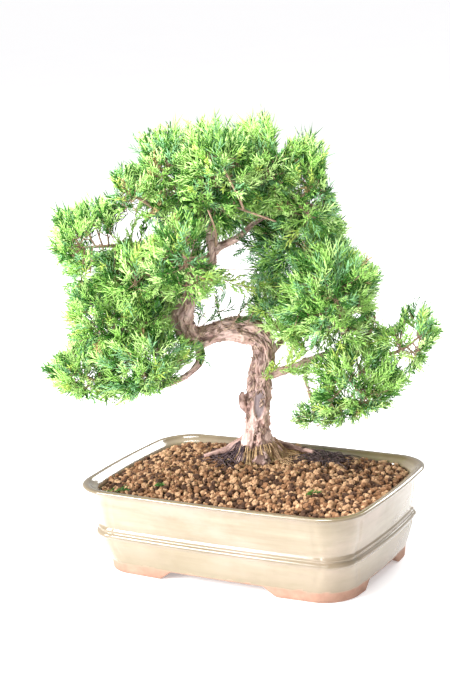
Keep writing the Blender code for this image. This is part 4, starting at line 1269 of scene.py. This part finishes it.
def insideEdge(across, high):
    # even-odd rule: a place is inside when a level line from it crosses the outline an odd number of times
    edge = tenths(crown["edge"])
    held = np.zeros(across.shape, bool)
    for (x, z), (nextX, nextZ) in zip(edge, np.roll(edge, -1, axis=0)):
        meets = (z > high) != (nextZ > high)
        held ^= meets & (across < x + (nextX - x) * (high - z) / (nextZ - z + 1e-12))
    return held


def roomHolds(room, points, whole=False):
    # inside the room, which a slow noise thins from front to back, its walls and the crown's outline;
    # unless whole, clear of the open and bare places
    off = points - room["middle"]
    scaled = np.abs(off / room["half"])
    swell = crown["swell"] * latticeNoise(points * (1, 0, 1) / crown["swellPitch"], 33)
    scaled[..., 1] *= np.maximum(1 + swell, 1)
    held = (scaled**crown["fullness"]).sum(-1) <= 1
    for away, limit in room["walls"]:
        held &= off @ away <= limit + crown["overlap"]
    across, deep, high = points[..., 0], points[..., 1], points[..., 2]
    middleAcross, middleHigh = crown["sightMiddle"]
    behind = deep - crown["sightDepth"]
    shrink = 1 + behind / crown["sightAway"]
    seenAcross = middleAcross + (across - middleAcross) / shrink
    seenHigh = middleHigh + (high + behind * crown["sightSlope"] - middleHigh) / shrink
    held &= insideEdge(seenAcross, seenHigh)
    if whole:
        return held

    def outward(x, z, halfX, halfZ):
        # square of the distance from an oval's middle, with 1 at its edge
        return ((seenAcross - x) / halfX)**2 + ((seenHigh - z) / halfZ)**2

    ragged = 1 + crown["raggedness"] * latticeNoise(points / crown["raggedPitch"], 31)
    for x, z, halfX, halfZ in tenths(crown["openPlaces"]):
        held &= outward(x, z, halfX + crown["openMargin"], halfZ + crown["openMargin"]) >= ragged
    for x, z, halfX, halfZ, limbDeep in tenths(crown["barePlaces"]):
        held &= (outward(x, z, halfX, halfZ) >= 1) | (deep > limbDeep)
    return held


def roomReach(room, start, way, whole=True, most=0.06, steps=60):
    # how far a straight way from each start stays in the room
    lengths = np.linspace(0, most, steps + 1)[1:]
    points = start[..., None, :] + way[..., None, :] * lengths[:, None]
    return np.cumprod(roomHolds(room, points, whole), axis=-1).sum(-1) * most / steps


def evenWays(count, rng):
    # directions spread evenly over a ball by the golden angle, then shaken a little
    k = np.arange(count)
    high = 1 - 2 * (k + 0.5) / count
    flat = np.sqrt(1 - high * high)
    turn = rng.uniform(0, 2 * np.pi) + k * math.pi * (3 - math.sqrt(5))
    ways = np.stack([flat * np.cos(turn), flat * np.sin(turn), high], -1)
    return unit(ways + rng.normal(scale=0.35 / math.sqrt(count), size=ways.shape))


def sagging(root, end, sag):
    # curves from root to end that hang down half way by a share of their length
    control = between(root, end, 0.5)
    control[:, 2] -= sag * np.linalg.norm(end - root, axis=-1)
    return bend(root, control, end, crown["twigRings"])


def ballArea(half):
    # area of an ellipsoid by its usual approximation with the power 1.6
    a, b, c = half
    return 4 * np.pi * (((a * b)**1.6 + (a * c)**1.6 + (b * c)**1.6) / 3)**(1 / 1.6)


def growMass(room, carrier, rng):
    # a stem from the limb's tip, twigs to all sides, and sprigs from the twigs
    limb = tenths(tree["boughs"].get(carrier, tree["trunk"]))
    start, way = limb[-1, :3], unit(limb[-1, :3] - limb[-2, :3])
    centre = room["middle"]
    inward = unit(centre - start)
    apart = np.linalg.norm(centre - start)
    far = centre + inward * roomReach(room, centre[None], inward[None])[0] * crown["stemEnd"]
    stem = bend(start - way * crown["stemSink"], start + way * apart / 2, far, crown["stemRings"])
    area = ballArea(room["half"])
    twigWays = evenWays(max(crown["fewestTwigs"], round(area / crown["areaEachTwig"])), rng)
    target = centre + twigWays * (roomReach(room, centre, twigWays) * crown["twigReach"])[:, None]
    cost = np.linalg.norm(stem[None] - target[:, None], axis=-1)
    cost = cost + np.linalg.norm(stem - start, axis=-1) * crown["rootPull"]
    root = stem[2 + np.argmin(cost[:, 2:], axis=1)]
    twigs = sagging(root, target, crown["sag"])
    ways = evenWays(round(area / crown["areaEachSprig"]), rng)
    owner = np.argmax(ways @ twigWays.T, axis=1)
    sprigRoot = twigs[owner, rng.integers(2, crown["twigRings"], len(ways))]
    # tuft: one along the twig's own way, and nothing half way to the next twig
    nearness = np.sort(ways @ twigWays.T, axis=1)
    tuft = smoothStep(0.0, crown["tuftWidth"], nearness[:, -1] - nearness[:, -2])
    reach = roomReach(room, centre, ways) * crown["sprigReach"] * between(crown["valley"], 1.0, tuft)
    reach = reach * rng.uniform(*crown["reachSpread"], len(ways))
    sprigs = sagging(sprigRoot, centre + ways * reach[:, None], crown["sprigSag"])
    held = roomHolds(room, sprigs[:, 1:]).mean(-1) > crown["heldShare"]
    return stem, twigs, sprigs[held], twigWays[owner][held], tuft[held]


def sprayPlaces(room, sprigs, ways, tuft, thinned, rng):
    # sprays at each sprig's end and on its sides, leaning with their tuft and up, each cut to the room that
    # is left; their light, a painted light and shade that picks their tones, is how far out in the tuft they
    # stand, so those inside and in the gaps between tufts are painted in shade
    base, way, light = [], [], []
    last = crown["twigRings"] - 1
    innermost = crown["sprayRows"][-1][0]
    for share, spread in crown["sprayRows"]:
        k = min(int(share * last), last - 1)
        along = unit(sprigs[:, k + 1] - sprigs[:, k])
        side = unit(np.cross(along, rng.normal(size=along.shape)))
        base.append(between(sprigs[:, k], sprigs[:, k + 1], share * last - k))
        way.append(unit(along * 0.6 + side * spread * 0.75 + ways * 0.65 + np.array((0, 0, 0.60))))
        outer = (share - innermost) / (1 - innermost)
        light.append(between(0.05, 1.0, outer) * between(0.30, 1.0, tuft))
    base, way, light = np.vstack(base), np.vstack(way), np.concatenate(light)
    low, high = crown["sprayLengths"]
    wanted = between(low * 1.2, high, rng.beta(2.0, 2.0, len(base)))
    free = roomReach(room, base, way, False, 0.03, 30)
    length = np.minimum(wanted, free * rng.uniform(0.75, 1.15, len(base)))
    keep = (length > low * 0.75) & (rng.random(len(base)) >= thinned)
    return base[keep], way[keep], length[keep], light[keep]


def sprayShapes():
    # sprays of unit length along x as rows of start, end and thickness: a bowed main shoot, side shoots
    # turned round it by the golden angle that lean forward, and small forks on those
    rng = np.random.default_rng(spray["seed"])
    share = np.linspace(0, 1, 5)
    shapes = []
    for kind in (spray["scale"], spray["needle"]):
        mainThick, sideThick, forkThick = kind["thick"]
        for _ in range(kind["shapes"]):
            bow = rng.uniform(-0.12, 0.12, 2)
            axis = np.stack([share, bow[0] * np.sin(2.6 * share), bow[1] * np.sin(2.6 * share)], -1)
            rows = []
            for k in range(4):
                rows.append((axis[k], between(axis[k], axis[k + 1], 1.35), mainThick * (1 - 0.08 * k)))
            for k in range(kind["sides"]):
                step = k + rng.uniform(-0.3, 0.3)
                t = kind["first"] + (0.94 - kind["first"]) * step / (kind["sides"] - 1)
                root = np.array([np.interp(t, share, axis[:, j]) for j in range(3)])
                turn = 2.4 * k + rng.uniform(-0.4, 0.4)
                angle = math.radians(kind["angle"] + rng.uniform(-10, 10))
                out = unit(np.array((math.cos(angle), math.sin(angle) * math.cos(turn),
                                     0.75 * math.sin(angle) * math.sin(turn))))
                size = (kind["long"] * (1 - t) + kind["short"]) * rng.uniform(0.75, 1.25)
                tip = root + out * size
                rows.append((root, tip, sideThick))
                for forkShare in kind["forks"]:
                    lead = unit(out + rng.normal(scale=0.32, size=3) + np.array((0.25, 0, 0)))
                    place = between(root, tip, forkShare)
                    rows.append((place, place + lead * size * rng.uniform(0.50, 0.75), forkThick))
            shapes.append(tuple(np.array(column) for column in zip(*rows)))
    return shapes


def spindles(start, end, radius):
    # closed three-sided bodies, pointed at both ends and widest in between
    along = unit(end - start)
    across, third = sidesOf(along, along)
    belly = between(start, end, spray["widest"])
    turn = np.radians((0, 120, 240))
    ring = belly[:, None] + radius[:, None, None] * (
        across[:, None] * np.cos(turn)[:, None] + third[:, None] * np.sin(turn)[:, None])
    points = np.concatenate([start[:, None], ring, end[:, None]], axis=1)
    faces = np.array(((0, 2, 1), (0, 3, 2), (0, 1, 3), (4, 1, 2), (4, 2, 3), (4, 3, 1)))
    return points.reshape(-1, 3), repeated(faces, len(start), points.shape[1])


def twigTubes(paths, thick, thin, sides):
    # tapering tubes along many short paths at once, closed at both ends
    along = unit(np.gradient(paths, axis=1))
    across, third = sidesOf(along, along[:, :1])
    radius = between(thick, thin, np.linspace(0, 1, paths.shape[1]))[None, :, None, None]
    turn = np.linspace(0, 2 * np.pi, sides, endpoint=False)[:, None]
    arm = across[:, :, None] * np.cos(turn) + third[:, :, None] * np.sin(turn)
    skin = paths[:, :, None] + radius * arm
    return manyBands(skin, paths)


def sprayPieces(base, way, length, tone, needles, rng):
    # every spray's shoots in place, grouped by colour into pieces under the size that a piece may have
    shapes = sprayShapes()
    scaleCount, needleCount = spray["scale"]["shapes"], spray["needle"]["shapes"]
    chosen = np.where(needles, scaleCount + rng.integers(needleCount, size=len(base)),
                      rng.integers(scaleCount, size=len(base)))
    roll = rng.uniform(0, 2 * np.pi, len(base))
    helper = unit(np.cross(way, rng.normal(size=way.shape)))
    third = np.cross(way, helper)
    across = helper * np.cos(roll)[:, None] + third * np.sin(roll)[:, None]
    up = np.cross(way, across)
    curl = rng.uniform(-0.22, 0.22, len(base))
    for k, (name, _, _, colour) in enumerate(spray["tones"]):
        starts, ends, radii = [], [], []
        for s, (localStart, localEnd, thick) in enumerate(shapes):
            mine = np.flatnonzero((tone == k) & (chosen == s))
            turned = np.stack([way[mine], across[mine], up[mine]], axis=1) * length[mine][:, None, None]
            for local, out in ((localStart, starts), (localEnd, ends)):
                curled = np.repeat(local[None], len(mine), axis=0)
                curled[..., 2] += curl[mine][:, None] * curled[..., 0]**2
                out.append((np.einsum("nkj,nji->nki", curled, turned) + base[mine][:, None]).reshape(-1, 3))
            radii.append(np.tile(thick, len(mine)))
        starts, ends = np.vstack(starts), np.vstack(ends)
        radii = np.concatenate(radii) * spray["shootRadius"]
        dark = tuple(c * 0.84 for c in colour)
        light = tuple(min(1.0, c * 1.16) for c in colour)
        material = plainFinish("shoot" + name, 0.5, 60.0, 2.0, dark, light, Specular_IOR_Level=0.35)
        pieces = math.ceil(len(starts) * 6 / spray["mostTriangles"])
        for n, part in enumerate(np.array_split(np.arange(len(starts)), pieces)):
            points, faces = spindles(starts[part], ends[part], radii[part])
            label = "shoot" + name + (str(n + 1) if pieces > 1 else "")
            addPiece(label, toPlant(points), [faces], material, massNodes)


def resampled(marks, count):
    # a lone twig's marks, in tenths, made a smooth path of count places
    path = smoothPath(tenths(marks), 0.0008)
    return path[np.linspace(0, len(path) - 1, count).round().astype(int)]


def straySprays(labels):
    # sprays to all sides of the lone twigs, from a little way along them to their tips, and on the soil
    rng = np.random.default_rng(stray["seed"])
    sprays = []
    for marks, count, size, tones, straight in stray["twigs"]:
        if not count:
            continue
        path = resampled(marks, 40)
        k = np.linspace(stray["start"] * 39, 38, count).astype(int)
        along = unit(path[k + 1] - path[k])
        side = unit(np.cross(along, rng.normal(size=along.shape)))
        way = unit(along * 0.8 + side * 0.75 + np.array((0, 0, 0.25)))
        tone = [labels.index(tones[n % len(tones)]) for n in range(count)]
        length = tenths(size) * rng.uniform(0.7, 1.2, count)
        sprays.append((path[k], way, length, tone, np.full(count, straight)))
    for (across, deep), lead, size in stray["fallen"]:
        across, deep, size = tenths((across, deep, size))
        high = soilHeight(toPlant((across, deep, 0.0))[:2])[0] + stray["lieHigh"]
        way = unit(np.array((*lead, 0.02)))
        sprays.append(([(across, deep, high)], [way], [size], [labels.index("Deep")], [True]))
    return tuple(np.concatenate(rows) for rows in zip(*sprays))


def makeTwigs(stems, twigs, sprigs):
    # the crown's own wood from stems to sprigs, and the lone twigs
    thick, bare = stray["thickness"], stray["bareThickness"]
    points, quads, fans = joined([
        twigTubes(np.stack(stems), *crown["stem"]),
        twigTubes(np.vstack(twigs), *crown["twig"]),
        twigTubes(np.vstack(sprigs), *crown["sprig"]),
        twigTubes(np.stack([resampled(t[0], 10) for t in stray["twigs"]]), thick, thick * 0.6, 5),
        twigTubes(np.stack([resampled(t, 12) for t in stray["bareTwigs"]]), bare, bare * 0.6, 8),
    ])
    dark, light = stray["tones"]
    material = plainFinish("twigBark", 0.8, 500.0, 2.4, dark, light, (0.4, 0.0005))
    addPiece("twigs", toPlant(points), [quads, fans], material, massNodes)


def makeCrown():
    rng = np.random.default_rng(crown["seed"])
    rooms = makeRooms()
    labels, outerShare, innerShare, _ = zip(*spray["tones"])
    innerShare = np.array(innerShare)
    stems, twigs, sprigs, sprays = [], [], [], []
    for name, (carrier, _, _) in crown["masses"].items():
        stem, massTwigs, massSprigs, ways, tuft = growMass(rooms[name], carrier, rng)
        thinned = crown["thinned"].get(name, 0)
        place, lead, size, light = sprayPlaces(rooms[name], massSprigs, ways, tuft, thinned, rng)
        tints = np.array(outerShare)
        if name in spray["tints"]:
            tints[labels.index(spray["tints"][name])] += spray["tintMore"]
        # painted light and shade: lit sprays take the outer tones, mostly Fresh and the lit Bright, and
        # shaded ones the inner tones, mostly the shaded Deep
        outerTone = rng.choice(len(labels), len(place), p=tints / tints.sum())
        innerTone = rng.choice(len(labels), len(place), p=innerShare / innerShare.sum())
        tone = np.where(rng.random(len(place)) < light, outerTone, innerTone)
        needles = rng.random(len(place)) < spray["needleShares"].get(name, spray["needleShare"])
        sprays.append((place, lead, size, tone, needles))
        stems.append(stem)
        twigs.append(massTwigs)
        sprigs.append(massSprigs)
    sprays.append(straySprays(labels))
    base, way, length, tone, needles = (np.concatenate(rows) for rows in zip(*sprays))
    print("sprays:", len(base))
    sprayPieces(base, way, length, tone, needles, rng)
    makeTwigs(stems, twigs, sprigs)


# floor, light and camera

stage = {
    "lens": 85.0,
    "sensor": 36.0,
    "azimuth": 30.8,
    "elevation": 13.3,
    "roll": -4.0,
    "distance": 1.0075,
    "targetAcross": -0.0117,
    "targetHigh": 0.150,
    "worldStrength": 0.75,
    "floorSize": 60.0,
    "floorGlow": 0.38,
    "lightsAim": (0, 0, 0.12),
    # area lights: place, size, power
    "lights": {
        "windowLight": ((-0.78, -1.06, 0.60), 0.60, 40.0),
        "topLight": ((-0.15, -0.15, 1.30), 0.60, 24.0),
        "frontLight": ((-0.30, -1.35, 0.25), 0.60, 6.0),
        "backLight": ((0.10, 1.10, 0.85), 0.60, 14.0),
    },
}


def makeStage():
    bpy.ops.mesh.primitive_plane_add(size=stage["floorSize"], location=(0, 0, 0))
    floor = bpy.context.object
    floor.name = "paleFloor"
    finish = Finish("paleFloor", 0.9, Emission_Strength=stage["floorGlow"])
    tone = finish.spots(3.0, 0.6, (0.84, 0.83, 0.85), (0.90, 0.90, 0.90))
    finish.feed("Base Color", tone["Color"])
    finish.feed("Emission Color", tone["Color"])
    floor.data.materials.append(finish.material)
    world = bpy.data.worlds.new("paleWorld")
    world.use_nodes = True
    world.node_tree.nodes["Background"].inputs["Color"].default_value = (1, 1, 1, 1)
    world.node_tree.nodes["Background"].inputs["Strength"].default_value = stage["worldStrength"]
    bpy.context.scene.world = world
    bpy.context.scene.view_settings.view_transform = "Standard"
    for name, (place, size, power) in stage["lights"].items():
        data = bpy.data.lights.new(name, "AREA")
        data.energy = power
        data.size = size
        lamp = bpy.data.objects.new(name, data)
        lamp.location = place
        aim = Vector(stage["lightsAim"]) - Vector(place)
        lamp.rotation_euler = aim.to_track_quat("-Z", "Y").to_euler()
        bpy.context.scene.collection.objects.link(lamp)


def makeCamera():
    a, e, r = (math.radians(stage[k]) for k in ("azimuth", "elevation", "roll"))
    back = Vector((math.sin(a) * math.cos(e), -math.cos(a) * math.cos(e), math.sin(e)))
    right = Vector((math.cos(a), math.sin(a), 0))
    up = back.cross(right)
    turnedRight = right * math.cos(r) + up * math.sin(r)
    turnedUp = up * math.cos(r) - right * math.sin(r)
    target = Vector(middle) + right * stage["targetAcross"] + Vector((0, 0, stage["targetHigh"]))
    data = bpy.data.cameras.new("camera")
    data.lens = stage["lens"]
    data.sensor_width = stage["sensor"]
    camera = bpy.data.objects.new("camera", data)
    turn = Matrix((turnedRight, turnedUp, back)).transposed().to_4x4()
    camera.matrix_world = Matrix.Translation(target + back * stage["distance"]) @ turn
    bpy.context.scene.collection.objects.link(camera)
    bpy.context.scene.camera = camera


makeStage()
makeCamera()
makePot()
makeSoil()
makeLimbs()
makeCrown()
